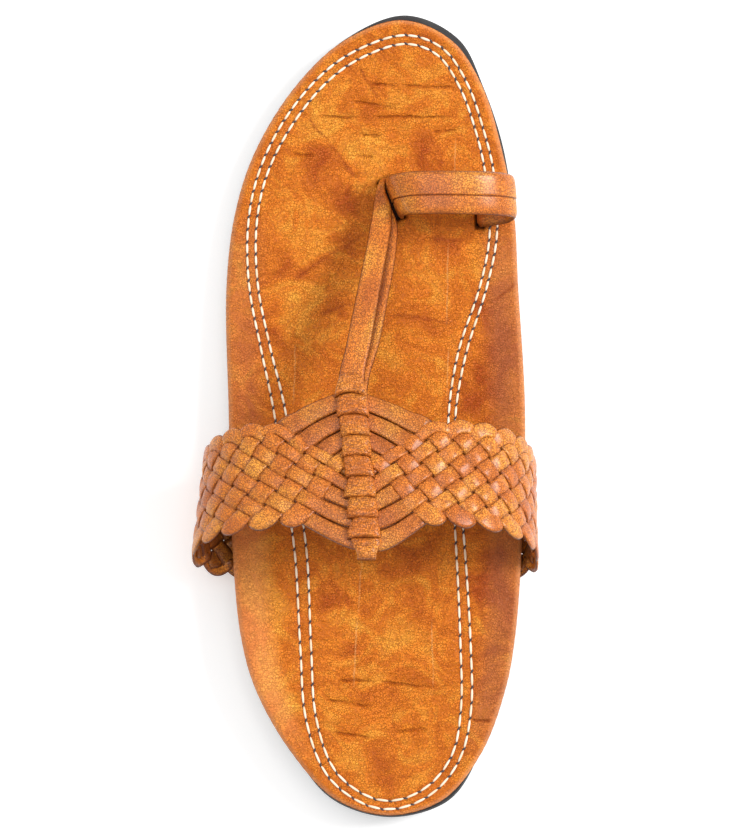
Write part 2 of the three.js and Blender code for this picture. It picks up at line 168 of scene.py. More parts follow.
def spline(rows, closed=False):
    """A smooth curve through rows of numbers, asked for at shares from 0 to 1."""
    rows = np.asarray(rows, float)
    count = len(rows)
    padded = np.vstack([2 * rows[0] - rows[1], rows, 2 * rows[-1] - rows[-2]])

    def at(share):
        place = np.asarray(share, float) * (count if closed else count - 1)
        first = np.floor(place).astype(int)
        if closed:
            p = [rows[(first + k) % count] for k in (-1, 0, 1, 2)]
        else:
            first = np.clip(first, 0, count - 2)
            p = [padded[first + k] for k in range(4)]
        w = (place - first)[..., None]
        steps = [np.sum((p[k + 1] - p[k]) ** 2, -1) ** 0.25 for k in range(3)]
        gap = [np.maximum(step, 1e-3)[..., None] for step in steps]
        leave = (p[1] - p[0]) / gap[0] - (p[2] - p[0]) / (gap[0] + gap[1]) + (p[2] - p[1]) / gap[1]
        reach = (p[2] - p[1]) / gap[1] - (p[3] - p[1]) / (gap[1] + gap[2]) + (p[3] - p[2]) / gap[2]
        leave, reach = leave * gap[1], reach * gap[1]
        bend = 3 * (p[2] - p[1]) - 2 * leave - reach
        twist = 2 * (p[1] - p[2]) + leave + reach
        return p[1] + w * leave + w**2 * bend + w**3 * twist

    return at


def column(rows, name, along):
    """One column of a table, eased between its rows."""
    places = np.array([row["along"] for row in rows], float)
    values = np.array([row[name] for row in rows], float)
    grade = np.diff(values) / np.diff(places)
    slope = np.zeros(len(values))
    same = grade[:-1] * grade[1:] > 0
    before, after = grade[:-1][same], grade[1:][same]
    slope[1:-1][same] = 2 * before * after / (before + after)
    at = np.clip(along, places[0], places[-1])
    k = np.clip(np.searchsorted(places, at) - 1, 0, len(places) - 2)
    span = places[k + 1] - places[k]
    f = (at - places[k]) / span
    eased = lerp(values[k], values[k + 1], f * f * (3 - 2 * f))
    return eased + f * (1 - f) * span * ((1 - f) * slope[k] - f * slope[k + 1])


def spaced(points, count):
    """Points at equal steps along a fine polyline."""
    length = run_lengths(points)
    wanted = np.linspace(0, length[-1], count)
    return np.stack([np.interp(wanted, length, points[:, k]) for k in range(points.shape[1])], -1)


def nearness(path, points):
    """Distance in plan from each point to a finely sampled path."""
    tree = KDTree(len(path))
    for k, (x, y) in enumerate(path):
        tree.insert((x, y, 0), k)
    tree.balance()
    flat = points.reshape(-1, points.shape[-1])
    return np.array([tree.find((p[0], p[1], 0))[2] for p in flat]).reshape(points.shape[:-1])


print("curve helpers ready")

# %% [markdown]
# A swept form could be lofted between curve objects, but then its corners carry no values. Here each
# piece starts as a grid primitive whose rows and columns are laid on worked-out points, its seam is
# merged, and its normals are turned outwards. Named values at the corners tell the material what is where.

# %% Helpers for grids
def grid_piece(name, points, fields=None):
    """A grid primitive laid on points[row, column] in mm, seams merged, with named values at its corners."""
    rows, columns = points.shape[:2]
    bpy.ops.object.select_all(action="DESELECT")
    bpy.ops.mesh.primitive_grid_add(x_subdivisions=columns - 1, y_subdivisions=rows - 1, size=1)
    piece = bpy.context.object
    piece.name = piece.data.name = name
    flat = np.zeros(len(piece.data.vertices) * 3)
    piece.data.vertices.foreach_get("co", flat)
    flat = flat.reshape(-1, 3)
    row = np.rint((flat[:, 1] + 0.5) * (rows - 1)).astype(int)
    col = np.rint((flat[:, 0] + 0.5) * (columns - 1)).astype(int)
    laid = (points[row, col] + (MIDDLE_SHIFT, 0, 0)) * MM
    piece.data.vertices.foreach_set("co", laid.ravel())
    for field, values in (fields or {}).items():
        layer = piece.data.attributes.new(field, "FLOAT", "POINT")
        spread = np.broadcast_to(values, (rows, columns))
        layer.data.foreach_set("value", spread[row, col].astype(np.float32))
    bpy.ops.object.mode_set(mode="EDIT")
    bpy.ops.mesh.select_all(action="SELECT")
    bpy.ops.mesh.remove_doubles(threshold=0.01 * MM)
    bpy.ops.mesh.normals_make_consistent(inside=False)
    bpy.ops.object.mode_set(mode="OBJECT")
    bpy.ops.object.shade_smooth()
    return piece


def join(name, parts):
    """Several objects as one piece."""
    bpy.ops.object.select_all(action="DESELECT")
    for part in parts:
        part.select_set(True)
    bpy.context.view_layer.objects.active = parts[0]
    bpy.ops.object.join()
    parts[0].name = parts[0].data.name = name
    return parts[0]


print("grid helpers ready")

# %% [markdown]
# The outsole is one black rubber moulding, waisted under the arch, with a low heel, a sprung toe and
# cut grooves across its tread. It could be a boxed-up extrusion, but its edge and height both change
# along the foot, so a closed ring is swept from heel to toe between the two edges of its plan.

# %% Outsole shape
SOLE_PROFILE = table(
    "along floor top",
    (-143, 2.4, 15.6),
    (-128, 0, 15.2),
    (-100, 0, 15),
    (-76, 0, 14.4),
    (-62, 4.6, 13.6),
    (-34, 5.4, 11.8),
    (-2, 3.2, 9.6),
    (26, 0, 8),
    (60, 0, 7.2),
    (96, 0, 7.2),
    (120, 2.2, 8.8),
    (143, 7, 12.6),
)
OUTSOLE_PLAN = table(
    "along lateral medial",
    (-142.4, 9, 9),
    (-137, -10.5, 28.6),
    (-126, -21.3, 37.4),
    (-108, -28.2, 42),
    (-76, -29.2, 41),
    (-36, -32.5, 38.2),
    (6, -38.8, 39.6),
    (40, -45, 48.8),
    (68, -46.8, 52.3),
    (94, -39.6, 49.4),
    (117, -25.2, 42),
    (134, -7.4, 33),
    (142.4, 14, 14),
)


def plan_edge(plan, side, count):
    """Evenly spaced points along one edge of a plan, from heel tip to toe tip."""
    other = "medial" if side == "lateral" else "lateral"
    near = [(row[side], row["along"]) for row in plan]
    far = [(row[other], row["along"]) for row in plan[1:-1]]
    outline = spline(near + far[::-1], closed=True)
    share = (len(near) - 1) / (len(near) + len(far))
    return spaced(outline(np.linspace(0, share, 2400)), count)


def swept_plan(plan, stations, across):
    """Places in plan, station by station from heel to toe, across from -1 at one edge to 1 at the other."""
    lateral, medial = (plan_edge(plan, side, stations)[:, None] for side in ("lateral", "medial"))
    return lerp(lateral, medial, (across[None, :, None] + 1) / 2)


SOLE_MIDDLE = 4.0  # x of the line that the insets point to
TOP_INSET = 0.8
TREAD_INSET = 1.6
TOP_POINTS = 9
TREAD_POINTS = 25
TREAD_PITCH = 6.2
TREAD_DEPTH = 1.0
TREAD_WAVE = {"swing": 1.6, "length": 4.2}
# Shares of the sole's height, down its side.
SIDE_HEIGHTS = (0.99, 0.96, 0.91, 0.84, 0.7, 0.5, 0.3, 0.18, 0.09, 0.03)


def outsole_ring():
    """Places across the sole, insets from its edge and shares of its height, once round the section."""
    side = np.array(SIDE_HEIGHTS)
    side_inset = TOP_INSET * smoothstep(side, 0.82, 1) ** 2
    side_inset = side_inset + TREAD_INSET * falling(side, -0.32, 0.32)
    right = np.ones(len(side))
    top, tread = np.ones(TOP_POINTS), np.ones(TREAD_POINTS)
    over, under = np.linspace(-1, 1, TOP_POINTS), np.linspace(1, -1, TREAD_POINTS)
    across = np.concatenate([over, right, under, -right, [-1]])
    inset = [TOP_INSET * top, side_inset, TREAD_INSET * tread, side_inset[::-1], [TOP_INSET]]
    height = np.concatenate([top, side, 0 * tread, side[::-1], [1]])
    return across, np.concatenate(inset), height


def outsole_points(stations):
    across, inset, height = outsole_ring()
    plan = swept_plan(OUTSOLE_PLAN, stations, across)
    middle = np.stack([np.full(plan.shape[:2], SOLE_MIDDLE), 0.7 * plan[..., 1]], -1)
    plan = plan + unit(middle - plan) * inset[None, :, None]
    x, y = plan[..., 0], plan[..., 1]
    low, high = (column(SOLE_PROFILE, name, y) for name in ("floor", "top"))
    wave = (y + TREAD_WAVE["swing"] * np.sin(x / TREAD_WAVE["length"])) / TREAD_PITCH
    groove = smoothstep(np.cos(2 * np.pi * wave), 0.45, 0.8) * (height == 0)
    inside = falling(np.abs(across), 0.86, 0.93)
    z = lerp(low, high, height) + TREAD_DEPTH * groove * inside
    return np.stack([x, y, z], -1)


outsole = grid_piece("rubber_outsole", outsole_points(stations=420))
print("outsole:", len(outsole.data.polygons), "faces")

# %% [markdown]
# The footbed is a leather-covered board. Its edge is rolled, its wings overhang the sole's waist and
# curl up a little, and the foot has pressed shallow dishes, creases and scratches into it. Two slits
# take the toe loop. The form is a fine grid, so the hollows, creases and seam grooves are real dips.

# %% Footbed tables
SEAT_GAP = 0.3
FOOTBED_THICK = 5.0
WING_CURL = 2.6
WING_STARTS = (-118, -60)  # along the foot, where the wings curl up
WING_ENDS = (10, 74)
SEAM_DEPTH = 0.38
SEAM_WIDTH = 0.9
FOOTBED_PLAN = table(
    "along lateral medial",
    (-141.2, 8, 8),
    (-135.5, -10.8, 27.4),
    (-119, -26.4, 40.9),
    (-97, -38.9, 49.2),
    (-78, -44.2, 52.7),
    (-40, -47.6, 55.4),
    (2, -48.7, 56.4),
    (46, -49.6, 54.1),
    (72, -46.6, 52.7),
    (94, -39.5, 48.5),
    (117, -25.2, 41.4),
    (133, -8, 30.6),
    (140.3, 13, 13),
)
# The outer row of stitches; the inner row keeps its own distance inside it.
STITCH_ROW = table(
    "x y inside",
    (14.3, 134.9, 3.0),
    (-3.4, 129.6, 3.1),
    (-16.1, 120.8, 3.2),
    (-29.2, 104.9, 3.3),
    (-38, 86.9, 3.0),
    (-41.8, 69.2, 3.0),
    (-41.6, 46.9, 3.1),
    (-37.3, 23.9, 3.3),
    (-33, 3.4, 4.0),
    (-28.8, -24, 4.2),
    (-25.2, -48.3, 4.2),
    (-23.2, -82.3, 3.8),
    (-21.1, -107.8, 3.6),
    (-13.3, -127.6, 3.2),
    (0.9, -137.7, 3.0),
    (11.9, -138.5, 2.9),
    (24.6, -132.4, 3.0),
    (33.6, -120.2, 3.1),
    (37.2, -102.5, 3.6),
    (37, -82.3, 3.6),
    (35.5, -55, 3.2),
    (33.2, -24, 2.6),
    (31.6, -1.6, 2.4),
    (35.4, 21.8, 2.8),
    (42.8, 45.5, 2.4),
    (46.5, 64.4, 2.6),
    (45.4, 86.2, 3.0),
    (41.6, 102.1, 2.8),
    (35.9, 118.1, 3.0),
    (27.4, 130.1, 2.9),
)
# Creases pressed across the leather, from end to end, with their depth and width.
CREASES = table(
    "from to depth width",
    ((-11.3, -93.5), (4, -93.6), 0.32, 1.1),
    ((4, -93.6), (25, -96.2), 0.24, 1.2),
    ((-15.6, -100.2), (2.6, -102.9), 0.42, 1.1),
    ((-12.6, -111.8), (3.6, -114.2), 0.36, 1.1),
    ((9, -111.3), (23.2, -110.4), 0.36, 1.1),
    ((36.9, -107.2), (45, -107.8), 0.4, 1.0),
    ((-0.5, 117.7), (12, 117.3), 0.26, 1.0),
    ((11, 117.3), (33.4, 116.3), 0.2, 1.0),
    ((-6.2, 111.7), (12.9, 108.9), 0.36, 1.1),
    ((-17.5, 106.7), (-2, 106), 0.3, 1.0),
    ((-2, 106), (31.3, 106.4), 0.2, 1.0),
    ((-2.7, 100), (5.6, 99.3), 0.36, 1.0),
    ((22.8, 101.1), (32.7, 101.4), 0.28, 1.0),
    ((-4.8, 91.9), (3.4, 92.6), 0.32, 1.0),
    ((-27.4, 93.3), (-17.5, 92.6), 0.28, 1.0),
)
# Slits for the two legs of the toe loop: middle, turn and half width.
SLITS = table(
    "x y turn half",
    (9.2, 77, 22.0, 2.0),
    (40.6, 74.6, 0.0, 1.2),
)
SLIT_REACH = 7.4
SLIT_DEPTH = 2.4
SLIT_LIP = 1.2
SWELL = 0.14
# Hollows that the foot has pressed: middle, half lengths and depth.
HOLLOWS = table(
    "x y wide long depth",
    (4, 58, 30, 34, 0.9),
    (7, -98, 22, 28, 0.9),
)
print(len(CREASES), "creases and", len(STITCH_ROW), "rows of stitch places")

# %% [markdown]
# The top of the footbed is a height worked out at each place in plan: the sole's own profile, the curl
# of the wings, and dips for the hollows, creases and slits. Working it out as functions, not as a
# sculpted mesh, lets the stitches find the height of the leather under them.

# %% Footbed surface
footbed_edges = {side: plan_edge(FOOTBED_PLAN, side, 900) for side in ("lateral", "medial")}
footbed_outline = np.vstack([footbed_edges["lateral"], footbed_edges["medial"][::-1]])


def across_footbed(x, y):
    """-1 at the lateral edge and 1 at the medial edge."""
    left, right = (np.interp(y, e[:, 1], e[:, 0]) for e in footbed_edges.values())
    return np.clip(2 * (x - left) / np.maximum(right - left, 1) - 1, -1, 1)


def footbed_middle(x, y):
    waist = smoothstep(y, *WING_STARTS) * falling(y, *WING_ENDS)
    curl = WING_CURL * waist * smoothstep(np.abs(across_footbed(x, y)), 0.5, 1.05) ** 1.5
    return column(SOLE_PROFILE, "top", y) + SEAT_GAP + FOOTBED_THICK / 2 + curl


def stitch_rows():
    """The outer and the inner row of stitches as fine closed paths."""
    share = np.linspace(0, 1, 2600, endpoint=False)
    at = spline([(row["x"], row["y"], row["inside"]) for row in STITCH_ROW], closed=True)(share)
    outer = at[:, :2]
    ahead = unit(np.roll(outer, -8, 0) - np.roll(outer, 8, 0))
    inward = np.stack([-ahead[:, 1], ahead[:, 0]], -1)
    return outer, outer + inward * at[:, 2:]


def crease_dip(x, y):
    """Soft troughs with a low ridge along each side."""
    dip = np.zeros_like(x)
    for crease in CREASES:
        start, stop = np.array(crease["from"]), np.array(crease["to"])
        line = stop - start
        t = ((x - start[0]) * line[0] + (y - start[1]) * line[1]) / (line @ line)
        near = np.clip(t, 0, 1)
        wave = 0.5 * np.sin(9 * near + start[0])
        off_x, off_y = x - start[0] - near * line[0], y - start[1] - near * line[1] - wave
        away = np.hypot(off_x, off_y) / crease["width"]
        fade = smoothstep(t, -0.02, 0.25) * falling(t, 0.75, 1.02)
        dip += crease["depth"] * fade * (bell(away, 1) - 0.45 * bell(away - 2.2, 1))
    return dip


def in_slit(x, y):
    """1 inside the slits, falling to 0 a little way outside them."""
    inside = np.zeros_like(x)
    for slit in SLITS:
        turn = math.radians(slit["turn"])
        c, s = math.cos(turn), math.sin(turn)
        u = np.abs(c * (x - slit["x"]) + s * (y - slit["y"]))
        v = np.abs(-s * (x - slit["x"]) + c * (y - slit["y"]))
        gap = np.hypot(np.maximum(u - slit["half"], 0), np.maximum(v - SLIT_REACH, 0))
        inside = np.maximum(inside, falling(gap, 0, SLIT_LIP))
    return inside


def footbed_dip(x, y):
    """How far wear, creases and slits lower the leather."""
    dip = crease_dip(x, y) + SLIT_DEPTH * in_slit(x, y)
    for hollow in HOLLOWS:
        u, v = (x - hollow["x"]) / hollow["wide"], (y - hollow["y"]) / hollow["long"]
        dip += hollow["depth"] * bell(np.hypot(u, v), 1)
    swell = SWELL * np.sin(x / 7.3 + 0.05 * y) * np.sin(y / 9.1 - 0.04 * x)
    return dip + swell


stitch_paths = stitch_rows()
print("stitch rows are", [round(float(run_lengths(path)[-1])) for path in stitch_paths], "mm long")

# %% [markdown]
# Dyed hide is cloudy: yellow-orange clouds drift between darker, redder veins. The large clouds are
# listed as soft patches and kept as a value at each corner of the grid, which the leather's
# material turns into colour. Small clouds and the grain come from the material itself.

# %% Clouds of the hide
# Middle, half lengths along x and y, and lightness from -1 to 1.
CLOUDS = table(
    "x y wide long light",
    (12, 117, 17, 9, 0.3),
    (2, 115, 4, 8, -0.5),
    (2, 88, 9, 12, 0.4),
    (22, 88, 5, 15, -0.6),
    (-18, 88, 9, 9, -0.45),
    (-3, 98, 11, 9, 0.5),
    (-18, 108, 8, 8, 0.4),
    (-26, 74, 14, 8, 0.2),
    (-6, 76, 8, 7, -0.75),
    (32, 96, 6, 12, 0.3),
    (-22, 52, 10, 3.2, -0.8),
    (-8, 60, 8, 2.8, -0.7),
    (-16, 62, 8, 6, 0.6),
    (-33, 60, 5, 8, -0.25),
    (-22, 40, 8, 9, 0.45),
    (-12, 36, 9, 3, -0.55),
    (-32, 30, 4, 12, -0.45),
    (-14, 45, 26, 34, 0.22),
    (-18, 18, 10, 8, -0.1),
    (20, 50, 9, 6, 0.35),
    (28, 63, 10, 3, -0.5),
    (18, 34, 12, 4, -0.5),
    (28, 42, 4, 12, 0.3),
    (22, 16, 9, 7, 0.15),
    (47, 30, 7, 18, -0.9),
    (43, 8, 10, 14, -0.8),
    (51, 54, 3, 12, -0.2),
    (-43, 25, 5, 12, -0.4),
    (-46, 52, 3.5, 10, 0.4),
    (-40, 0, 6, 9, -0.5),
    (-12, -58, 9, 4, 0.55),
    (-10, -66, 10, 4, -0.6),
    (12, -54, 10, 4, -0.35),
    (-10, -74, 7, 5, 0.5),
    (9, -77, 8, 6, 0.7),
    (18, -70, 5, 8, -0.45),
    (-4, -82, 5, 7, -0.35),
    (0, -90, 10, 4, 0.35),
    (4, -106, 12, 6, 0.4),
    (8, -122, 5, 10, -0.55),
    (-3, -120, 7, 7, 0.4),
    (20, -122, 6, 7, 0.3),
    (-14, -110, 4, 8, 0.35),
    (-36, -62, 8, 20, 1.0),
    (-32, -94, 7, 14, 0.9),
    (46, -62, 8, 18, -1.0),
    (44, -72, 5, 4, 0.45),
    (45, -90, 7, 12, -0.65),
    (43, -110, 5, 10, -0.3),
)


def cloudiness(x, y):
    """Sum of the listed clouds, with their outlines pushed about so that none is a plain oval."""
    u = x + 2.6 * np.sin(y / 5.1 + 0.4) + 1.5 * np.sin(x / 3.3 + y / 2.7)
    v = y + 2.4 * np.sin(x / 4.3 + 1.1) + 1.4 * np.sin(y / 3.1 - x / 2.9)
    total = np.zeros_like(x)
    for cloud in CLOUDS:
        reach = np.hypot((u - cloud["x"]) / cloud["wide"], (v - cloud["y"]) / cloud["long"])
        total += cloud["light"] * falling(reach, 0.35, 1.35)
    return np.clip(total, -1, 1)


print(len(CLOUDS), "clouds")

# %% [markdown]
# The footbed is swept like the outsole, as a closed ring from heel to toe, but with many more columns
# on its upper face. Its corners also carry values for the material: clouds, rim, seam, slits painted
# dark with shade, the underside, and the wings, with painted shade on the right wing and at the front
# of the left one, and a painted sheen on the back of the left one.

# %% Footbed piece
FLANK_TURN = (-30, 0)  # along the left wing, from its painted sheen to its painted shade
FLANK_STARTS = (-128, -100)
FLANK_ENDS = (56, 76)
FLANK_EDGE = (0.7, 0.86)  # across the footbed, where the wings begin
WORN_INSIDE = (1, 5)  # mm from the edge, where hollows and creases fade in
RIM_FADE = (0.4, 2.2)


def footbed_points(stations, upper_columns, lower_columns):
    spread = np.linspace(-1, 1, upper_columns)
    upper = lerp(spread, np.sin(spread * np.pi / 2), 0.55)
    lower = np.sin(np.linspace(1, -1, lower_columns + 2)[1:-1] * np.pi / 2)
    across = np.concatenate([upper, lower, upper[:1]])
    face = np.concatenate([np.ones(upper_columns), -np.ones(lower_columns), [1]])
    plan = swept_plan(FOOTBED_PLAN, stations, across)
    x, y = plan[..., 0], plan[..., 1]
    half = FOOTBED_THICK / 2
    edge = nearness(footbed_outline, plan)
    roll = quarter_round(edge / half)
    seam = sum(bell(nearness(path, plan), SEAM_WIDTH) for path in stitch_paths)
    inner = smoothstep(edge, *WORN_INSIDE)
    dip = (footbed_dip(x, y) * inner + SEAM_DEPTH * seam) * (face > 0)
    z = footbed_middle(x, y) + face * half * roll - dip
    wing = smoothstep(np.abs(across_footbed(x, y)), *FLANK_EDGE)
    wing = wing * smoothstep(y, *FLANK_STARTS) * falling(y, *FLANK_ENDS)
    shaded_share = smoothstep(y, *FLANK_TURN)
    fields = {
        "cloud": cloudiness(x, y),
        "rim": falling(edge, *RIM_FADE),
        "seam": np.clip(seam, 0, 1),
        # painted shade in the slits
        "slit": in_slit(x, y) * (face > 0),
        "under": (face < 0) * 1.0,
        # painted shade on the right wing and the front of the left wing; painted sheen on the back of the
        # left wing
        "wing_shade": wing * np.where(x > 0, 1, 0.7 * shaded_share),
        "wing_sheen": wing * (x < 0) * (1 - shaded_share),
    }
    return np.stack([x, y, z], -1), fields


footbed = grid_piece("leather_footbed", *footbed_points(stations=330, upper_columns=170, lower_columns=30))
print("footbed:", len(footbed.data.polygons), "faces")

# %% [markdown]
# The seam is a lockstitch: each cream stitch lies in the groove and dives into a needle hole at both
# ends. One stitch is modelled from a sphere and copied along both rows, and so is the dark slanted
# mark of the needle hole, which is painted shade. Together they make two joined meshes of a few dozen faces
# per stitch.

# %% Stitches
STITCH_WIDTH = 0.95
STITCH_PITCH = {"heel": 5.5, "toe": 4.55}
PITCH_CHANGES = (-70, 30)  # along the foot
STITCH_GAP = 0.42  # between the end of a stitch and the middle of its hole
STITCH_LIFT = 0.26
STITCH_THICK = 0.72
STITCH_DIVE = 0.3
HOLE_LENGTH = 1.9
HOLE_WIDTH = 0.8
HOLE_THICK = 0.32
HOLE_LIFT = 0.12
HOLE_SLANT = (0.75, -0.65)  # along and across the row


def stitch_places(path):
    """Where the stitches of one row start and stop; those at the heel are longer."""
    step = np.linalg.norm(np.roll(path, -1, 0) - path, axis=1)
    pitch = lerp(STITCH_PITCH["heel"], STITCH_PITCH["toe"], smoothstep(path[:, 1], *PITCH_CHANGES))
    count = np.concatenate([[0], np.cumsum(step / pitch)])
    total = int(round(count[-1]))
    ring = np.vstack([path, path[:1]])
    wanted = np.arange(total) * count[-1] / total
    ends = np.stack([np.interp(wanted, count, ring[:, k]) for k in range(2)], -1)
    return ends, np.roll(ends, -1, 0)


def seed_shape(segments, rings):
    """Corners and faces of a unit sphere primitive, to be copied."""
    bpy.ops.object.select_all(action="DESELECT")
    bpy.ops.mesh.primitive_uv_sphere_add(segments=segments, ring_count=rings, radius=1)
    seed = bpy.context.object
    corners = np.array([v.co for v in seed.data.vertices])
    faces = [list(p.vertices) for p in seed.data.polygons]
    bpy.data.objects.remove(seed)
    return corners, faces


def copies(name, seed, placed):
    """One joined mesh of copies; placed holds each copy's corners in mm."""
    corners, faces = seed
    count = len(corners)
    mesh = bpy.data.meshes.new(name)
    every = (np.vstack(placed) + (MIDDLE_SHIFT, 0, 0)) * MM
    starts = [k * count for k in range(len(placed))]
    mesh.from_pydata(every.tolist(), [], [[i + start for i in face] for start in starts for face in faces])
    mesh.validate()
    piece = bpy.data.objects.new(name, mesh)
    bpy.context.collection.objects.link(piece)
    bpy.ops.object.select_all(action="DESELECT")
    piece.select_set(True)
    bpy.context.view_layer.objects.active = piece
    bpy.ops.object.shade_smooth()
    return piece


def footbed_skin(x, y):
    """Height of the leather in the groove of the seam."""
    return footbed_middle(x, y) + FOOTBED_THICK / 2 - footbed_dip(x, y) - SEAM_DEPTH


def quarter_turn(direction):
    return np.array([-direction[1], direction[0]])


def laid_on_seam(middle, ahead, along, across, lift):
    """Corners along and across a direction in plan, lifted off the leather of the seam."""
    spot = middle + np.outer(along, ahead) + np.outer(across, quarter_turn(ahead))
    return np.column_stack([spot, footbed_skin(spot[:, 0], spot[:, 1]) + lift])


def stitch_corners(start, stop):
    length = np.linalg.norm(stop - start)
    across, up, along = thread_seed[0].T
    along = np.sign(along) * np.abs(along) ** 0.7
    lift = STITCH_LIFT + STITCH_THICK / 2 * up - STITCH_DIVE * along**4
    reach = along * (length / 2 - STITCH_GAP)
    return laid_on_seam((start + stop) / 2, unit(stop - start), reach, across * STITCH_WIDTH / 2, lift)


def hole_corners(start, stop):
    ahead = unit(stop - start)
    slant = unit(HOLE_SLANT[0] * ahead + HOLE_SLANT[1] * quarter_turn(ahead))
    along, across, up = hole_seed[0].T
    lift = HOLE_LIFT + HOLE_THICK / 2 * up
    return laid_on_seam(start, slant, along * HOLE_LENGTH / 2, across * HOLE_WIDTH / 2, lift)


thread_seed = seed_shape(segments=6, rings=7)
hole_seed = seed_shape(segments=6, rings=4)
threads, holes = [], []
for path in stitch_paths:
    for start, stop in zip(*stitch_places(path)):
        threads.append(stitch_corners(start, stop))
        holes.append(hole_corners(start, stop))
seam_thread = copies("seam_thread", thread_seed, threads)
needle_marks = copies("needle_marks", hole_seed, holes)
print(len(threads), "stitches")

# %% [markdown]
# The instep band is an arch over the foot, from under one wing of the footbed to under the other. It
# could be a bent sheet with a woven bump, but the photograph shows real strips, so the band is first a
# surface to lay them on: a curve through measured rows, with a direction across it at each row.

# %% Surface of the band
BAND_TOP = {"y": -18.0, "z": 56.0}
BAND_LEAN = 0.45
BAND_ARCH = table(
    "x z flare dip",
    (-35.8, 10.4, 0.02, -0.065),
    (-45.6, 11.2, 0.04, -0.065),
    (-53.4, 14.8, 0.06, -0.08),
    (-57.4, 22.4, 0.1, -0.12),
    (-57.2, 31, 0.12, -0.18),
    (-53.2, 40, 0.11, -0.24),
    (-44, 48, 0.06, -0.28),
    (-30, 53, 0, -0.3),
    (-16, 55.4, -0.05, -0.31),
    (-2.6, 56, -0.1, -0.31),
    (14, 55.4, -0.08, -0.31),
    (30, 53.2, -0.06, -0.3),
    (44.6, 48.2, -0.05, -0.28),
    (53.6, 40, -0.06, -0.24),
    (57.6, 31, -0.05, -0.18),
    (58.7, 23, -0.03, -0.12),
    (58.8, 15.8, 0, -0.08),
    (53, 11.2, 0, -0.065),
    (46, 10.4, 0, -0.065),
)
SPINE_ROW = 9


def arch_middle(row):
    return (row["x"], BAND_TOP["y"] - BAND_LEAN * (BAND_TOP["z"] - row["z"]), row["z"])


def arch_across(row):
    return (row["flare"], math.sqrt(1 - row["flare"] ** 2 - row["dip"] ** 2), row["dip"])


band_centre = spline([arch_middle(row) for row in BAND_ARCH])
band_across = spline([arch_across(row) for row in BAND_ARCH])
arc_share = np.linspace(0, 1, 3601)
arc_length = run_lengths(band_centre(arc_share))
spine_length = np.interp(SPINE_ROW / (len(BAND_ARCH) - 1), arc_share, arc_length)


def band_point(run, rise, lift):
    """A point of the band: run along it from the spine, rise across it to the toe, lift off its middle."""
    share = np.interp(spine_length + run, arc_length, arc_share)
    across = unit(band_across(share))
    out = unit(np.cross(heading(band_centre, share), across))
    rise, lift = np.broadcast_to(rise, share.shape), np.broadcast_to(lift, share.shape)
    return band_centre(share) + across * rise[..., None] + out * lift[..., None]


band_runs = (spine_length, arc_length[-1] - spine_length)
print("band runs", [round(float(length), 1) for length in band_runs], "mm from the spine")

# %% [markdown]
# On each side of the spine, nine strips make the plait: four leave the front half of the spine and five
# its back half. A lattice of steps p and q is laid over the band: one family of strips keeps p and runs
# along q, and the other keeps q. The lattice is pinched and leans near the spine, which bends the strips
# there into the nested chevrons of the diamond.

# %% Lattice of the plait
STRIP_RISE = 9.0  # strip width measured across the band
STRIP_RUN = 9.7  # and along it
FRONT_STRIPS = 4  # strips that leave the front half of the spine on each side
BACK_STRIPS = 5
MIDDLE_STEP = 0.25  # puts the middle between the two edges of the plait on the middle of the band
SPINE_RUN = 1.8
DIAMOND_PINCH = 0.745  # the strips lie closer together at the spine
DIAMOND_LEAN = {-1: 0.38, 1: 0.28}  # crossings of the front edge lie further out, on each side
OUTER_LEAN = {-1: 0.25, 1: 0.13}
LEAN_GROWS = (0, 12)  # mm from the spine
LEAN_SETTLES = (15, 50)
LEAN_ENDS = (55, 85)
BACK_TO_FRONT = (-1.5, 1.5)  # lattice steps across the band
PINCH_START = {"back": 0, "front": 10}
PINCH_LENGTH = {"back": 20, "front": 17}


def plait_place(side, p, q):
    """Run and rise on the band of a place on the lattice of strips."""
    run = SPINE_RUN + (p + q) / 2 * STRIP_RUN
    step = (p - q) / 2 + MIDDLE_STEP
    front = smoothstep(step, *BACK_TO_FRONT)
    pinch = (PINCH_START, PINCH_LENGTH)
    pinch_start, pinch_length = (lerp(ends["back"], ends["front"], front) for ends in pinch)
    opened = smoothstep((run - pinch_start) / pinch_length, 0, 1)
    rise = step * STRIP_RISE * lerp(DIAMOND_PINCH, 1, opened)
    lean = lerp(DIAMOND_LEAN[side], OUTER_LEAN[side], smoothstep(run, *LEAN_SETTLES))
    lean = lean * smoothstep(run, *LEAN_GROWS) * falling(run, *LEAN_ENDS)
    return np.stack([run + lean * rise, rise], -1)


def flat_section(top, bottom):
    """Across and up, once round a flat strip with soft edges."""
    across = np.concatenate([np.linspace(-1, 1, top), np.linspace(1, -1, bottom)[1:]])
    up = (1 - np.abs(across) ** 8) ** 0.5
    return across, np.where(np.arange(len(across)) < top, up, -up)


print("lattice steps of", STRIP_RUN, "and", STRIP_RISE, "mm")

# %% [markdown]
# One family of strips runs towards the heel and the other towards the toe, over one and under one, and
# at each edge a strip folds back into the other family. A flat woven texture would miss the shadows
# between the strips, so each strip is a flat tube along the lattice that rises and dives at crossings.

# %% Strips of the plait
FAR_CROSSING = 20
ORDERS = 12  # strips of each family, counted along the band
STRIP_FILL = 0.955  # share of its lattice step that a strip covers
STRIP_THICK = 1.3
WEAVE_SWING = 0.66
BEND_FROM = 1.25  # lattice steps before the fold at which a strip starts to turn along the edge
BEND_TURN = 1.4
BEND_LENGTH = 1.7
BEND_PAST = math.radians(34)
BEND_TAPER = 0.55
CROWN = 0.2
END_ROUND = 0.16  # lattice steps over which the end of a strip is rounded
UNDER_SPINE = 0.2  # lattice steps that a strip starts past the spine
UNDER_FOLD = 0.75  # and after the fold that it comes out of
START_TAPER = 0.5
CHEVRON_WIDEN = 1.06
TONE = {"middle": 0.22, "swing": 0.8}
RUN_LIMITS = (-2, 101.5)  # strips stay between the spine and the end of the tail
lot = np.random.default_rng(7)


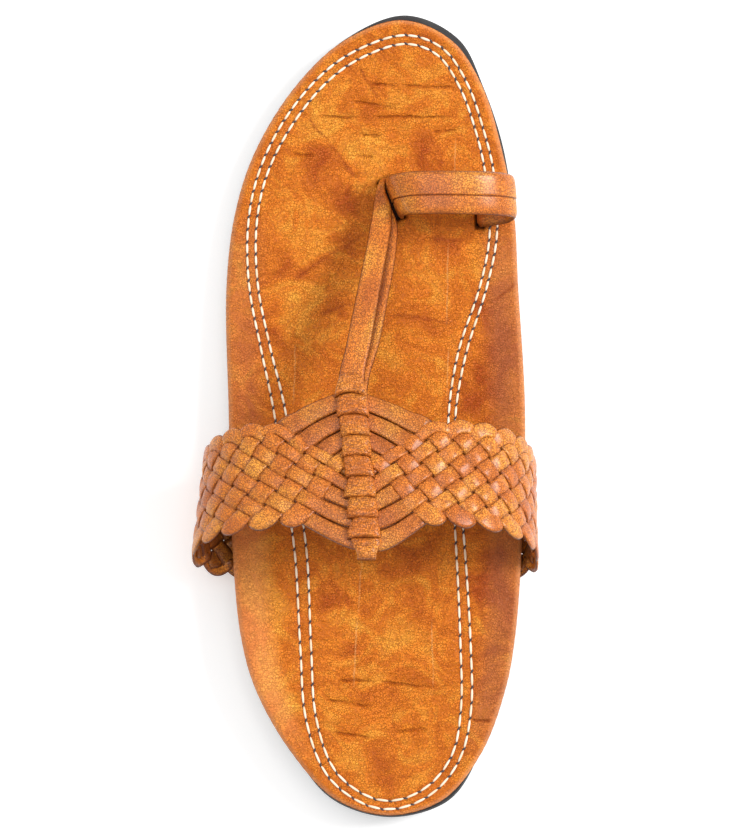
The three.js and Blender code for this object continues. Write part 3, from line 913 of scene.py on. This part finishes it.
def strip_path(side, order, forward):
    """A strip's middle line on the flat band, half widths, levels in the weave and lattice places."""
    own, far_fold = (FRONT_STRIPS, BACK_STRIPS) if forward else (BACK_STRIPS, FRONT_STRIPS)
    kept = order + 0.5
    fold, tail = kept + far_fold, FAR_CROSSING - kept
    from_spine, bends = order < own, fold < tail + 0.4
    start = -kept - UNDER_SPINE if from_spine else kept - own + UNDER_FOLD
    stop = fold - BEND_FROM if bends else tail
    other = np.linspace(start, stop, max(int((stop - start) * 9), 8))

    def beside(shift):
        return plait_place(side, kept + shift, other) if forward else plait_place(side, other, kept + shift)

    line = beside(0)
    ahead = unit(np.gradient(line, axis=0))
    width = beside(0.5) - beside(-0.5)
    half = 0.5 * STRIP_FILL * np.abs(ahead[:, 0] * width[:, 1] - ahead[:, 1] * width[:, 0])
    half = half * lerp(CHEVRON_WIDEN, 1, smoothstep(other, -0.6, 0.2))
    level = (1 if forward else -1) * np.cos(np.pi * (order + other - 0.5)) * smoothstep(other, 0, 0.35)
    if not from_spine:
        level = np.where(other < kept - own + 1, -1.0, level)
        half = half * lerp(START_TAPER, 1, smoothstep(other, start, start + 0.7))
    if bends:
        more = np.linspace(0, BEND_LENGTH, 19)[1:]
        angle = math.atan2(ahead[-1, 1], ahead[-1, 0])
        speed = np.linalg.norm(line[-1] - line[-2]) / (other[-1] - other[-2])
        bearing = lerp(angle, -math.copysign(BEND_PAST, angle), smoothstep(more, 0, BEND_TURN))
        steps = np.stack([np.cos(bearing), np.sin(bearing)], -1) * speed * more[0]
        line = np.vstack([line, line[-1] + np.cumsum(steps, axis=0)])
        half = np.concatenate([half, half[-1] * (1 - BEND_TAPER * smoothstep(more, 0.6, BEND_LENGTH))])
        over, under = np.sin(np.pi * (more + BEND_FROM - 1)), 1 - 2 * smoothstep(more, 1.0, 1.5)
        dive = np.where(more < BEND_FROM - 1, over, under)
        level = np.concatenate([level, dive])
        other = np.concatenate([other, stop + more])
    return line, half, level, other


def plait_strip(side, order, forward):
    """One strip from the spine or from under an edge fold to the next fold or to the tail."""
    line, *rest = strip_path(side, order, forward)
    half, level, other = (values[:, None] for values in rest)
    across, up = flat_section(top=13, bottom=5)
    ahead = unit(np.gradient(line, axis=0))
    normal = np.stack([-ahead[:, 1], ahead[:, 0]], -1)
    closing = np.minimum(other - other[0], other[-1] - other)
    round_end = quarter_round(closing / END_ROUND)
    spot = line[:, None] + normal[:, None] * (half * across)[..., None]
    crown = CROWN * (1 - across**2) * (up >= 0)
    lift = WEAVE_SWING * level + round_end * (STRIP_THICK / 2 * up + crown)
    points = band_point(side * np.clip(spot[..., 0], *RUN_LIMITS), spot[..., 1], lift)
    tone = np.interp(other, np.arange(-7, 22), lot.uniform(-1, 1, 29)) + lot.uniform(-0.3, 0.3)
    fields = {
        "cloud": np.clip(TONE["swing"] * tone + TONE["middle"], -1, 1) + 0 * across,
        # dark cut edges, which also paint the shade in the gaps between strips
        "edge": np.abs(across) ** 9 + 0 * other,
        # painted shade where the strip dives under the next one
        "under_shade": falling(level, -0.6, 0.45) + 0 * across,
    }
    return grid_piece("strip", points, fields)


strips = []
for side in (-1, 1):
    for forward in (True, False):
        for order in range(ORDERS):
            strips.append(plait_strip(side, order, forward))
plait = join("plaited_band", strips)
print("plait:", len(strips), "strips,", len(plait.data.polygons), "faces")

# %% [markdown]
# The spine of the band is bound with nine turns of a narrow strip. Each turn is a crowned pad that is
# wider at its back edge and overlaps the next one like a scale, so it is a grid swept over the spine
# with its own widths, arch and lean. Painted shade darkens the front of each turn, under the turn that
# overlaps it, and the troughs of its wrinkles.

# %% Wraps of the spine
WRAPS = table(
    "front back arch lean",
    (3.9, 5.3, 1.5, 0.2),
    (4.9, 5.3, 1.0, 0.1),
    (4.6, 4.8, 0.7, -0.1),
    (4.5, 4.8, 0.5, 0.1),
    (4.2, 4.7, 0.4, -0.2),
    (4.0, 5.1, 0.2, 0.3),
    (4.3, 4.9, 0.1, 0.1),
    (4.0, 5.3, 0.2, 0.3),
    (4.9, 3.0, -0.2, 0.2),
)
WRAP_PITCH = 7.3
WRAP_REACH = 8.0
WRAP_BASE = 1.0
WRAP_CROWN = 2.7
WRAP_WIDEN = 1.07


def spine_wrap(order, rows=34, around=44):
    shape = WRAPS[order]
    t = np.linspace(0, 1, rows)[:, None]
    turn = np.linspace(0, 2 * np.pi, around + 1)[None, :]
    across = np.sign(np.cos(turn)) * np.abs(np.cos(turn)) ** 0.62
    up = np.sign(np.sin(turn)) * np.abs(np.sin(turn)) ** 0.55
    half = WRAP_WIDEN * lerp(shape["front"], shape["back"], smoothstep(t, 0, 0.85))
    end = np.sqrt(np.clip(1 - np.abs(2 * t - 1) ** 7, 0, 1))
    middle = ((len(WRAPS) - 1) / 2 - order) * WRAP_PITCH
    run = half * across * lerp(0.93, 1, end) + shape["lean"] * (0.5 - t) * 4
    rise = middle + WRAP_REACH * (0.5 - t) + shape["arch"] * (1 - across**2)
    wrinkle = np.sin(14 * t + 5 * across + 2.1 * order) + 0.7 * np.sin(23 * t - 9 * across + 1.3 * order)
    trough = bell(wrinkle, 0.3) * smoothstep(up, 0, 0.6)
    crease = 0.14 * wrinkle * smoothstep(up, 0, 0.6) - 0.3 * trough
    thick = np.where(up > 0, WRAP_CROWN * lerp(0.8, 1.06, t), 0.5)
    lift = WRAP_BASE + end * (thick * up + crease)
    fields = {
        "cloud": 0.35 * np.sin(order * 2.3 + 3 * t) + 0.1 + 0 * across,
        # dark ends of each turn, with painted shade in the troughs of its wrinkles
        "edge": np.clip(np.abs(2 * t - 1) ** 10 + 0.5 * trough, 0, 1) + 0 * across,
        # painted shadow along the front of each turn, under the turn that overlaps it
        "under_shade": 0.35 * falling(t, 0, 0.3) + 0 * across,
    }
    return grid_piece("spine_wrap", band_point(run, rise, lift), fields)


wraps = join("spine_binding", [spine_wrap(order) for order in range(len(WRAPS))])
print("binding:", len(wraps.data.polygons), "faces")

# %% [markdown]
# The centre strap is one strip doubled back on itself: it loops round the inner leg of the toe loop,
# and the lower layer shows as a sliver along the right of the upper one, with painted shade where the
# upper one covers it. The toe loop is a folded strap with its seam near the middle. Both are flat tubes
# along a curve through a few measured rows.

# %% Straps
CENTRE_STRAP = table(
    "x y z width apart",
    (-4.6, 2.8, 49.2, 9.2, 0.0),
    (-5, 13, 45.8, 9.2, 0.5),
    (-2.6, 25, 41.3, 8.8, 0.9),
    (0.2, 40, 35.4, 8.4, 1.0),
    (3.1, 55, 29.2, 8, 1.0),
    (5.2, 67, 23.8, 7.8, 0.6),
    (5.6, 73.5, 21, 6.4, 0.0),
    (5.1, 79, 18.8, 3.6, 0.0),
    (5.8, 82.6, 16, 2.4, 0.0),
    (6.6, 83.6, 12.6, 2, 0.0),
)
TOE_LOOP = table(
    "x y z turn",
    (10.4, 77, 8.4, 22),
    (10.6, 77.2, 18, 22),
    (11.2, 77.6, 27.4, 20),
    (16.4, 78, 33, 8),
    (26, 78.1, 34.8, 0),
    (37.6, 78, 34, -1),
    (47, 77.8, 30.2, 2),
    (51.4, 77.2, 24.4, 5),
    (49.4, 75.8, 18.8, 5),
    (43.6, 74.8, 16.8, 2),
    (40.8, 74.6, 13.8, 0),
    (40.6, 74.6, 8.4, 0),
)
LOOP_HALF = 7.6
LOOP_THICK = 2.2


def flat_strap(name, centre, half, thick, shape, line, rows=120, top=17, covered=-2.0):
    """A flat tube: centre and half are curves, shape gives extra lift, line adds dark lines to the dark
    edges, and covered says how far across painted shade reaches where another layer lies over it.
    """
    t = np.linspace(0, 1, rows)
    across, up = (values[None, :] for values in flat_section(top, 9))
    out = unit(np.cross(half(t), heading(centre, t)))
    closing = np.minimum(t, 1 - t)[:, None] * rows / 3
    round_end = quarter_round(closing)
    extra = np.where(up >= 0, shape(across), 0) * (1 - across**20)
    lift = round_end * (thick / 2 * up + extra)
    points = centre(t)[:, None] + half(t)[:, None] * across[..., None] + out[:, None] * lift[..., None]
    t = t[:, None]
    fields = {
        "cloud": 0.1 + 0.85 * np.sin(9.7 * t + 1.3 + across) * np.sin(23 * t - across),
        "edge": np.clip(np.abs(across) ** 12 + line(across), 0, 1),
        # painted shade where another layer lies over the strap
        "under_shade": falling(across, covered, covered + 0.3),
    }
    return grid_piece(name, points, fields)


def strap_curves(rows, half_of, aside=0.0, lower=0.0, under=0.0):
    """Curves of the middle and the half width; a layer moves aside and down where the strap lies apart."""
    apart = [row.get("apart", 0) for row in rows]
    centre = spline([(r["x"] + aside * a, r["y"], r["z"] - lower * a - under) for r, a in zip(rows, apart)])
    return centre, spline([half_of(r) for r in rows])


def soft_crown(across):
    """A strap a little thicker in its middle."""
    return 0.3 * (1 - across**2)


def no_line(across):
    return 0 * across


SEAM_PLACE = 0.12  # across the toe loop, from -1 at its front edge to 1 at its back edge


def loop_seam(across):
    """The folded edge of the loop lies over its back part, which leaves a seam line."""
    off = SEAM_PLACE - across
    return 0.25 * smoothstep(off, 0, 0.04) - 0.4 * bell(off, 0.03) + 0.25 * (1 - across**4)


def seam_line(across):
    return 1.2 * bell(across - SEAM_PLACE, 0.024)


def strap_half(row):
    return (row["width"] / 2, 0.6, 0)


def loop_half(row):
    turn = math.radians(row["turn"])
    return (LOOP_HALF * math.sin(turn), -LOOP_HALF * math.cos(turn), 0)


upper_curves = strap_curves(CENTRE_STRAP, strap_half, lower=-0.5)
lower_curves = strap_curves(CENTRE_STRAP, strap_half, aside=3.3, lower=2.4, under=0.9)
loop_curves = strap_curves(TOE_LOOP, loop_half)
layers = [
    flat_strap("strap", *upper_curves, thick=1.5, shape=soft_crown, line=no_line),
    # the lower layer, with painted shade where the upper one covers it and beside its edge
    flat_strap("strap", *lower_curves, thick=1.3, shape=soft_crown, line=no_line, covered=0.4),
]
centre_strap = join("centre_strap", layers)
toe_loop = flat_strap("toe_loop", *loop_curves, LOOP_THICK, loop_seam, seam_line, rows=150, top=91)
print("straps:", len(centre_strap.data.polygons), "and", len(toe_loop.data.polygons), "faces")

# %% [markdown]
# The finishes are node trees wired in code. They could be built by hand in the shader editor, but a
# script can be read and run again. These helpers make a node with its inputs wired, and do sums, so that
# each finish below reads as a list of what is mixed.

# %% Node helpers
def add_node(tree, kind, inputs=None, **settings):
    made = tree.nodes.new(kind)
    for name, value in settings.items():
        setattr(made, name, value)
    wire(tree, made, inputs or {})
    return made


def texture(tree, vector, scale, detail=2.0, rough=0.5, bent=0.0):
    """A noise texture."""
    inputs = {"Vector": vector, "Scale": scale, "Detail": detail, "Roughness": rough, "Distortion": bent}
    return add_node(tree, "ShaderNodeTexNoise", inputs)


def sums(tree, operation, a, b):
    return add_node(tree, "ShaderNodeMath", {0: a, 1: b}, operation=operation).outputs[0]


def times(tree, a, b):
    return sums(tree, "MULTIPLY", a, b)


def vector_sums(tree, operation, **inputs):
    """A step of vector arithmetic on a, b and c; a dot product or a length gives a value."""
    numbered = {{"a": 0, "b": 1, "c": 2, "scale": "Scale"}[name]: value for name, value in inputs.items()}
    made = add_node(tree, "ShaderNodeVectorMath", numbered, operation=operation)
    return made.outputs["Value" if operation in ("DOT_PRODUCT", "LENGTH") else "Vector"]


def ease(tree, value, low, high, start=0.0, stop=1.0):
    inputs = {"Value": value, "From Min": low, "From Max": high, "To Min": start, "To Max": stop}
    return add_node(tree, "ShaderNodeMapRange", inputs, interpolation_type="SMOOTHSTEP").outputs[0]


def blend_colours(tree, share, first, second):
    """The Mix node has sockets for several types under one name, so its colour sockets go by number."""
    return add_node(tree, "ShaderNodeMix", {0: share, 6: first, 7: second}, data_type="RGBA").outputs[2]


def new_group(name, inputs, outputs):
    group = bpy.data.node_groups.new(name, "ShaderNodeTree")
    for label, kind, value in inputs:
        socket = group.interface.new_socket(name=label, in_out="INPUT", socket_type=kind)
        if value is not None:
            socket.default_value = value
    for label, kind in outputs:
        group.interface.new_socket(name=label, in_out="OUTPUT", socket_type=kind)
    return group, group.nodes.new("NodeGroupInput"), group.nodes.new("NodeGroupOutput")


print("node helpers ready")

# %% [markdown]
# All the leather shares one look: cloudy tan dye, a fine pebbled grain with darker cracks between the
# pebbles, and a soft shine. That look is one node group with named inputs, used by the footbed and by
# the straps with their own values.

# %% Leather node group
FLOAT, VECTOR, COLOUR = "NodeSocketFloat", "NodeSocketVector", "NodeSocketColor"
RUST_DYE = (0.46, 0.080, 0.005, 1)
TAN_DYE = (0.82, 0.220, 0.014, 1)
AMBER_DYE = (1.0, 0.42, 0.046, 1)
CRACK_BROWN = (0.27, 0.036, 0.003, 1)
# Also the colour of the painted shade where strips lie under others.
EDGE_AND_SHADE_BROWN = (0.18, 0.036, 0.004, 1)
GRAINS_PER_METRE = 820.0
GRAIN_PUSH = 0.0014  # metres by which the cells of the grain are pushed about
WRINKLE_STRETCH = (60.0, 420.0, 60.0)  # wrinkles run across the foot

hide, hide_in, hide_out = new_group(
    "cloudy_hide",
    [
        ("Vector", VECTOR, None),
        ("Cloud", FLOAT, 0.0),
        ("Small Clouds", FLOAT, 0.5),
        ("Speckle", FLOAT, 0.5),
        ("Grain Size", FLOAT, 1.0),
        ("Cracks", FLOAT, 0.4),
        ("Wrinkles", FLOAT, 0.3),
    ],
    [("Colour", COLOUR), ("Roughness", FLOAT), ("Height", FLOAT)],
)
given = hide_in.outputs
place = given["Vector"]


def swing(value, strength):
    """Noise made to swing about 0."""
    return times(hide, sums(hide, "SUBTRACT", value, 0.5), times(hide, strength, 6.0))


def winding(value, level, width):
    """1 on the lines where a noise crosses a level, which wind and close like veins."""
    off = sums(hide, "ABSOLUTE", sums(hide, "SUBTRACT", value, level), 0.0)
    return ease(hide, off, 0.0, width, 1.0, 0.0)


drift = texture(hide, place, scale=58, detail=3, bent=2.4).outputs[0]
grain_scale = sums(hide, "DIVIDE", GRAINS_PER_METRE, given["Grain Size"])
speckle = texture(hide, place, grain_scale, rough=0.7, bent=0.4).outputs[0]
bend = texture(hide, place, scale=420).outputs["Color"]
pushed = vector_sums(hide, "MULTIPLY_ADD", a=bend, b=(GRAIN_PUSH,) * 3, c=place)
in_cells = {"Vector": pushed, "Scale": grain_scale}
cells = add_node(hide, "ShaderNodeTexVoronoi", in_cells, feature="DISTANCE_TO_EDGE")
between_cells = ease(hide, cells.outputs["Distance"], 0.02, 0.19, 1.0, 0.0)
patchy = times(hide, ease(hide, speckle, 0.36, 0.6, 0.2, 1.0), given["Cracks"])
crack = times(hide, between_cells, patchy)
pulled = add_node(hide, "ShaderNodeMapping", {"Vector": pushed, "Scale": WRINKLE_STRETCH}).outputs[0]
wrinkle = texture(hide, pulled, scale=1, detail=3, rough=0.6, bent=0.4).outputs[0]
lines = times(hide, winding(wrinkle, 0.5, 0.035), given["Wrinkles"])
vein = times(hide, winding(drift, 0.47, 0.034), ease(hide, speckle, 0.3, 0.6))
cloudy = sums(hide, "ADD", given["Cloud"], swing(drift, given["Small Clouds"]))
tone = sums(hide, "ADD", cloudy, swing(speckle, given["Speckle"]))
spread = add_node(hide, "ShaderNodeMapRange", {"Value": tone, "From Min": -1.15, "From Max": 1.15})
dye = add_node(hide, "ShaderNodeValToRGB", {"Fac": spread.outputs[0]})
dye.color_ramp.elements[0].color = RUST_DYE
dye.color_ramp.elements[1].color = AMBER_DYE
dye.color_ramp.elements.new(0.5).color = TAN_DYE
cracked = sums(hide, "MAXIMUM", crack, sums(hide, "MAXIMUM", lines, times(hide, vein, 0.52)))
hide_colour = blend_colours(hide, cracked, dye.outputs[0], CRACK_BROWN)
hide_height = sums(hide, "SUBTRACT", times(hide, speckle, 0.5), cracked)
hide_rough = ease(hide, speckle, 0.25, 0.75, 0.48, 0.32)
for label, value in (("Colour", hide_colour), ("Roughness", hide_rough), ("Height", hide_height)):
    hide.links.new(value, hide_out.inputs[label])
print("node group", hide.name)

# %% [markdown]
# A scratch or a vein is a thin wandering line at one place. The group below measures how far a point
# lies from a line between two ends and gives a mask that is 1 on it. The point is pushed about with
# noise first, one noise for all the lines, so that they wander.

# %% Line mark node group
mark, mark_in, mark_out = new_group(
    "line_mark",
    [
        ("Vector", VECTOR, None),
        ("Start", VECTOR, None),
        ("End", VECTOR, None),
        ("Width", FLOAT, 0.001),
        ("Broken", FLOAT, 1.0),
    ],
    [("Mask", FLOAT)],
)


start, end = mark_in.outputs["Start"], mark_in.outputs["End"]
flat_place = vector_sums(mark, "MULTIPLY", a=mark_in.outputs["Vector"], b=(1, 1, 0))
from_start = vector_sums(mark, "SUBTRACT", a=flat_place, b=start)
line = vector_sums(mark, "SUBTRACT", a=end, b=start)
reached = vector_sums(mark, "DOT_PRODUCT", a=from_start, b=line)
share = sums(mark, "DIVIDE", reached, vector_sums(mark, "DOT_PRODUCT", a=line, b=line))
held = sums(mark, "MINIMUM", sums(mark, "MAXIMUM", share, 0.0), 1.0)
on_line = vector_sums(mark, "SCALE", a=line, scale=held)
away = vector_sums(mark, "LENGTH", a=vector_sums(mark, "SUBTRACT", a=from_start, b=on_line))
body_mask = ease(mark, sums(mark, "DIVIDE", away, mark_in.outputs["Width"]), 0.0, 1.0, 1.0, 0.0)
ends_mask = times(mark, ease(mark, held, 0.0, 0.25), ease(mark, held, 1.0, 0.75))
whole_mask = times(mark, times(mark, body_mask, ends_mask), mark_in.outputs["Broken"])
mark.links.new(whole_mask, mark_out.inputs["Mask"])
print("node group", mark.name)

# %% [markdown]
# The photograph shows pale scratches along the foot and dark veins across it. They could be painted by
# hand, but a few ends and widths in a table are enough: each row places one line mark, and the strongest
# mark at a point counts.

# %% Scratches and veins
SCRATCHES = table(
    "from to width",
    ((-25, 28), (-25.6, 3), 0.42),
    ((29.2, 64), (28.8, 30), 0.42),
    ((29.4, 26), (28.4, 4), 0.42),
    ((-1.2, -46), (-3, -72), 0.5),
    ((-3, -70), (-4.4, -98), 0.5),
    ((23.2, -70), (23.8, -98), 0.42),
    ((32, 100), (31, 78), 0.4),
)
VEINS = table(
    "from to width",
    ((-27, 47), (-12, 58), 1.3),
    ((-13.5, 57), (0.5, 65.5), 1.4),
    ((-17, 35.5), (-3, 40.6), 1.2),
    ((22, 63), (36, 62.5), 1.1),
    ((-2, 123.7), (1, 117), 1.0),
    ((0.6, 118), (5.1, 111.7), 1.1),
    ((-21.5, 107), (-12.6, 96.6), 1.0),
    ((-14.2, 98.6), (-2, 82.7), 1.2),
    ((45, 40), (56, 50), 1.2),
    ((8, 36), (33, 33), 1.2),
    ((34, 84), (20, 78), 1.2),
)


def at_mm(place):
    return ((place[0] + MIDDLE_SHIFT) * MM, place[1] * MM, 0)


def marks(tree, vector, rows, wander):
    """The strongest of several line marks that wander by some mm."""
    shake = texture(tree, vector, scale=160, detail=4, rough=0.6)
    off = vector_sums(tree, "SUBTRACT", a=shake.outputs["Color"], b=(0.5, 0.5, 0.5))
    moved = vector_sums(tree, "MULTIPLY_ADD", a=off, b=(wander * MM,) * 3, c=vector)
    broken = ease(tree, shake.outputs[0], 0.3, 0.55, 0.35, 1.0)
    total = 0.0
    for row in rows:
        line = {"Start": at_mm(row["from"]), "End": at_mm(row["to"]), "Width": row["width"] * MM}
        made = add_node(tree, "ShaderNodeGroup", {"Vector": moved, "Broken": broken, **line}, node_tree=mark)
        total = sums(tree, "MAXIMUM", total, made.outputs[0])
    return total


print(len(SCRATCHES), "scratches and", len(VEINS), "veins")

# %% [markdown]
# The footbed's leather is the cloudy hide with veins, creases and scratches at their places, darker
# grooves along the seam, a paler rolled rim, painted shade on the wings and in the slits, a painted sheen
# on the back of the left wing, and the bare board underneath. Each is a colour laid over the one before
# by a mask, so a list of masks, strengths and colours says it all.

# %% Footbed leather
def new_material(name):
    """A material, its node tree, its shader, and the place on the piece that its patterns read."""
    material = bpy.data.materials.new(name)
    material.use_nodes = True
    tree = material.node_tree
    where = add_node(tree, "ShaderNodeTexCoord").outputs["Object"]
    return material, tree, tree.nodes["Principled BSDF"], where


def field(tree, name):
    """A value that the piece carries at its corners."""
    return add_node(tree, "ShaderNodeAttribute", attribute_name=name).outputs["Fac"]


def leather(name, **values):
    """A material with the cloudy hide wired to its cloud value, and its parts for further work."""
    material, tree, shader, where = new_material(name)
    named = {label.replace("_", " ").title(): value for label, value in values.items()}
    inputs = {"Vector": where, "Cloud": field(tree, "cloud"), **named}
    look = add_node(tree, "ShaderNodeGroup", inputs, node_tree=hide)
    wire(tree, shader, {"Roughness": look.outputs["Roughness"], "Specular IOR Level": 0.2})
    return material, tree, shader, where, look


def tinted(tree, colour, tints):
    """A colour with others laid over it, each by a mask and its strength."""
    for mask, strength, tint in tints:
        colour = blend_colours(tree, times(tree, mask, strength), colour, tint)
    return colour


def rough_surface(tree, shader, height, strength, depth):
    bump = add_node(tree, "ShaderNodeBump", {"Height": height, "Strength": strength, "Distance": depth * MM})
    tree.links.new(bump.outputs[0], shader.inputs["Normal"])


# Colours of the painted shade and the painted sheen on the wings.
WING_SHADE_BROWN = (0.44, 0.16, 0.07, 1)
WING_SHEEN = (0.96, 0.33, 0.11, 1)
SCRATCH_PALE = (0.95, 0.52, 0.2, 1)
RIM_TAN = (0.86, 0.36, 0.14, 1)
# near black: the painted shade in the slits
SLIT_SHADE = (0.03, 0.012, 0.006, 1)
BOARD_BROWN = (0.30, 0.16, 0.075, 1)
CREASE_LINE = 0.75  # mm, the width of the dark line in a crease

hide_values = {"small_clouds": 0.46, "speckle": 0.16, "grain_size": 0.68, "cracks": 0.58, "wrinkles": 0.3}
footbed_leather, tree, shader, where, look = leather("footbed_leather", **hide_values)
vein = marks(tree, where, VEINS, wander=3.0)
crease = marks(tree, where, [{**row, "width": CREASE_LINE} for row in CREASES], wander=2.0)
scratch = marks(tree, where, SCRATCHES, wander=1.6)
tints = [
    # painted shade and painted sheen on the wings
    (field(tree, "wing_shade"), 0.4, WING_SHADE_BROWN),
    (field(tree, "wing_sheen"), 0.45, WING_SHEEN),
    (vein, 0.55, CRACK_BROWN),
    (crease, 0.6, CRACK_BROWN),
    (scratch, 0.32, SCRATCH_PALE),
    (field(tree, "seam"), 0.22, CRACK_BROWN),
    (field(tree, "rim"), 0.4, RIM_TAN),
    # painted shade in the slits
    (field(tree, "slit"), 1.0, SLIT_SHADE),
    (field(tree, "under"), 1.0, BOARD_BROWN),
]
wire(tree, shader, {"Base Color": tinted(tree, look.outputs["Colour"], tints)})
height = sums(tree, "SUBTRACT", look.outputs["Height"], times(tree, crease, 1.2))
rough_surface(tree, shader, height, strength=1.0, depth=0.5)
footbed.data.materials.append(footbed_leather)
print("material", footbed_leather.name, len(tree.nodes), "nodes")

# %% [markdown]
# The strap leather is the same hide, a little paler and glossier where it is handled. Cut edges are darker,
# and painted shade darkens the gaps between strips and each strip, wrap or layer where it lies under
# another.

# %% Strap leather
HANDLED_TAN = (0.92, 0.29, 0.055, 1)

hide_values = {"small_clouds": 0.3, "speckle": 0.2, "grain_size": 0.66, "cracks": 0.85, "wrinkles": 0.0}
strap_leather, tree, shader, where, look = leather("strap_leather", **hide_values)
tints = [
    (1.0, 0.25, HANDLED_TAN),
    # dark cut edges, partly painted shade in the gaps and wrinkle troughs
    (field(tree, "edge"), 0.95, EDGE_AND_SHADE_BROWN),
    # painted shade under strips, wraps and layers
    (field(tree, "under_shade"), 0.62, EDGE_AND_SHADE_BROWN),
]
colour = tinted(tree, look.outputs["Colour"], tints)
wire(tree, shader, {"Base Color": colour, "Coat Weight": 0.45, "Coat Roughness": 0.26})
rough_surface(tree, shader, look.outputs["Height"], strength=1.0, depth=0.5)
for piece in (plait, wraps, centre_strap, toe_loop):
    piece.data.materials.append(strap_leather)
print("material", strap_leather.name)

# %% [markdown]
# The rubber is matt black-grey with a fine moulded texture and a little pale dust. The thread is waxed
# cream cotton with twisted strands, and the needle holes are painted dark with the shade that falls in them.

# %% Rubber, thread and needle holes
RUBBER_BLACK = (0.022, 0.021, 0.022, 1)
RUBBER_DUST = (0.055, 0.053, 0.052, 1)
THREAD_CREAM = (0.97, 0.86, 0.68, 1)
THREAD_SOILED = (0.86, 0.66, 0.44, 1)
# Colours of the painted shade in the needle holes.
HOLE_SHADE = (0.03, 0.024, 0.03, 1)
HOLE_SHADE_LIGHT = (0.085, 0.06, 0.06, 1)

black_rubber, tree, shader, where = new_material("black_rubber")
moulding = texture(tree, where, scale=900, detail=3).outputs[0]
dust = texture(tree, where, scale=60, detail=6, rough=0.7).outputs[0]
colour = blend_colours(tree, ease(tree, dust, 0.4, 0.75), RUBBER_BLACK, RUBBER_DUST)
wire(tree, shader, {"Base Color": colour, "Roughness": ease(tree, dust, 0.3, 0.7, 0.62, 0.85)})
rough_surface(tree, shader, moulding, strength=0.4, depth=0.2)
outsole.data.materials.append(black_rubber)

cream_thread, tree, shader, where = new_material("cream_thread")
twist = texture(tree, where, scale=1500).outputs[0]
soil = texture(tree, where, scale=180, detail=3).outputs[0]
colour = blend_colours(tree, ease(tree, soil, 0.35, 0.75), THREAD_CREAM, THREAD_SOILED)
wire(tree, shader, {"Base Color": colour, "Roughness": ease(tree, twist, 0.3, 0.7, 0.55, 0.75)})
rough_surface(tree, shader, twist, strength=0.5, depth=0.15)
seam_thread.data.materials.append(cream_thread)

painted_hole_shade, tree, shader, where = new_material("painted_hole_shade")
hole_mottle = texture(tree, where, scale=900).outputs[0]
colour = blend_colours(tree, hole_mottle, HOLE_SHADE, HOLE_SHADE_LIGHT)
wire(tree, shader, {"Base Color": colour, "Roughness": ease(tree, hole_mottle, 0.3, 0.7, 0.6, 0.8)})
needle_marks.data.materials.append(painted_hole_shade)
print("materials:", [m.name for m in bpy.data.materials])

# %% [markdown]
# Each piece rides on the sandal's one body and stands for the CAD solids that it covers, so that the
# plain solids aren't drawn.

# %% Ride on the frame and finish
CLAIMS = [
    (outsole, "sole_rubber", ["outsole"]),
    (footbed, "footbed_leather", ["footbed"]),
    (seam_thread, "stitch_thread", []),
    (needle_marks, "stitch_thread", []),
    (plait, "strap_leather", ["upper"]),
    (centre_strap, "strap_leather", ["upper"]),
    (toe_loop, "strap_leather", ["upper"]),
    (wraps, "strap_leather", ["spine_wrap_%d" % (k + 1) for k in range(len(WRAPS))]),
]
for piece, finish, nodes in CLAIMS:
    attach(piece, "root")
    if nodes:
        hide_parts(*nodes)
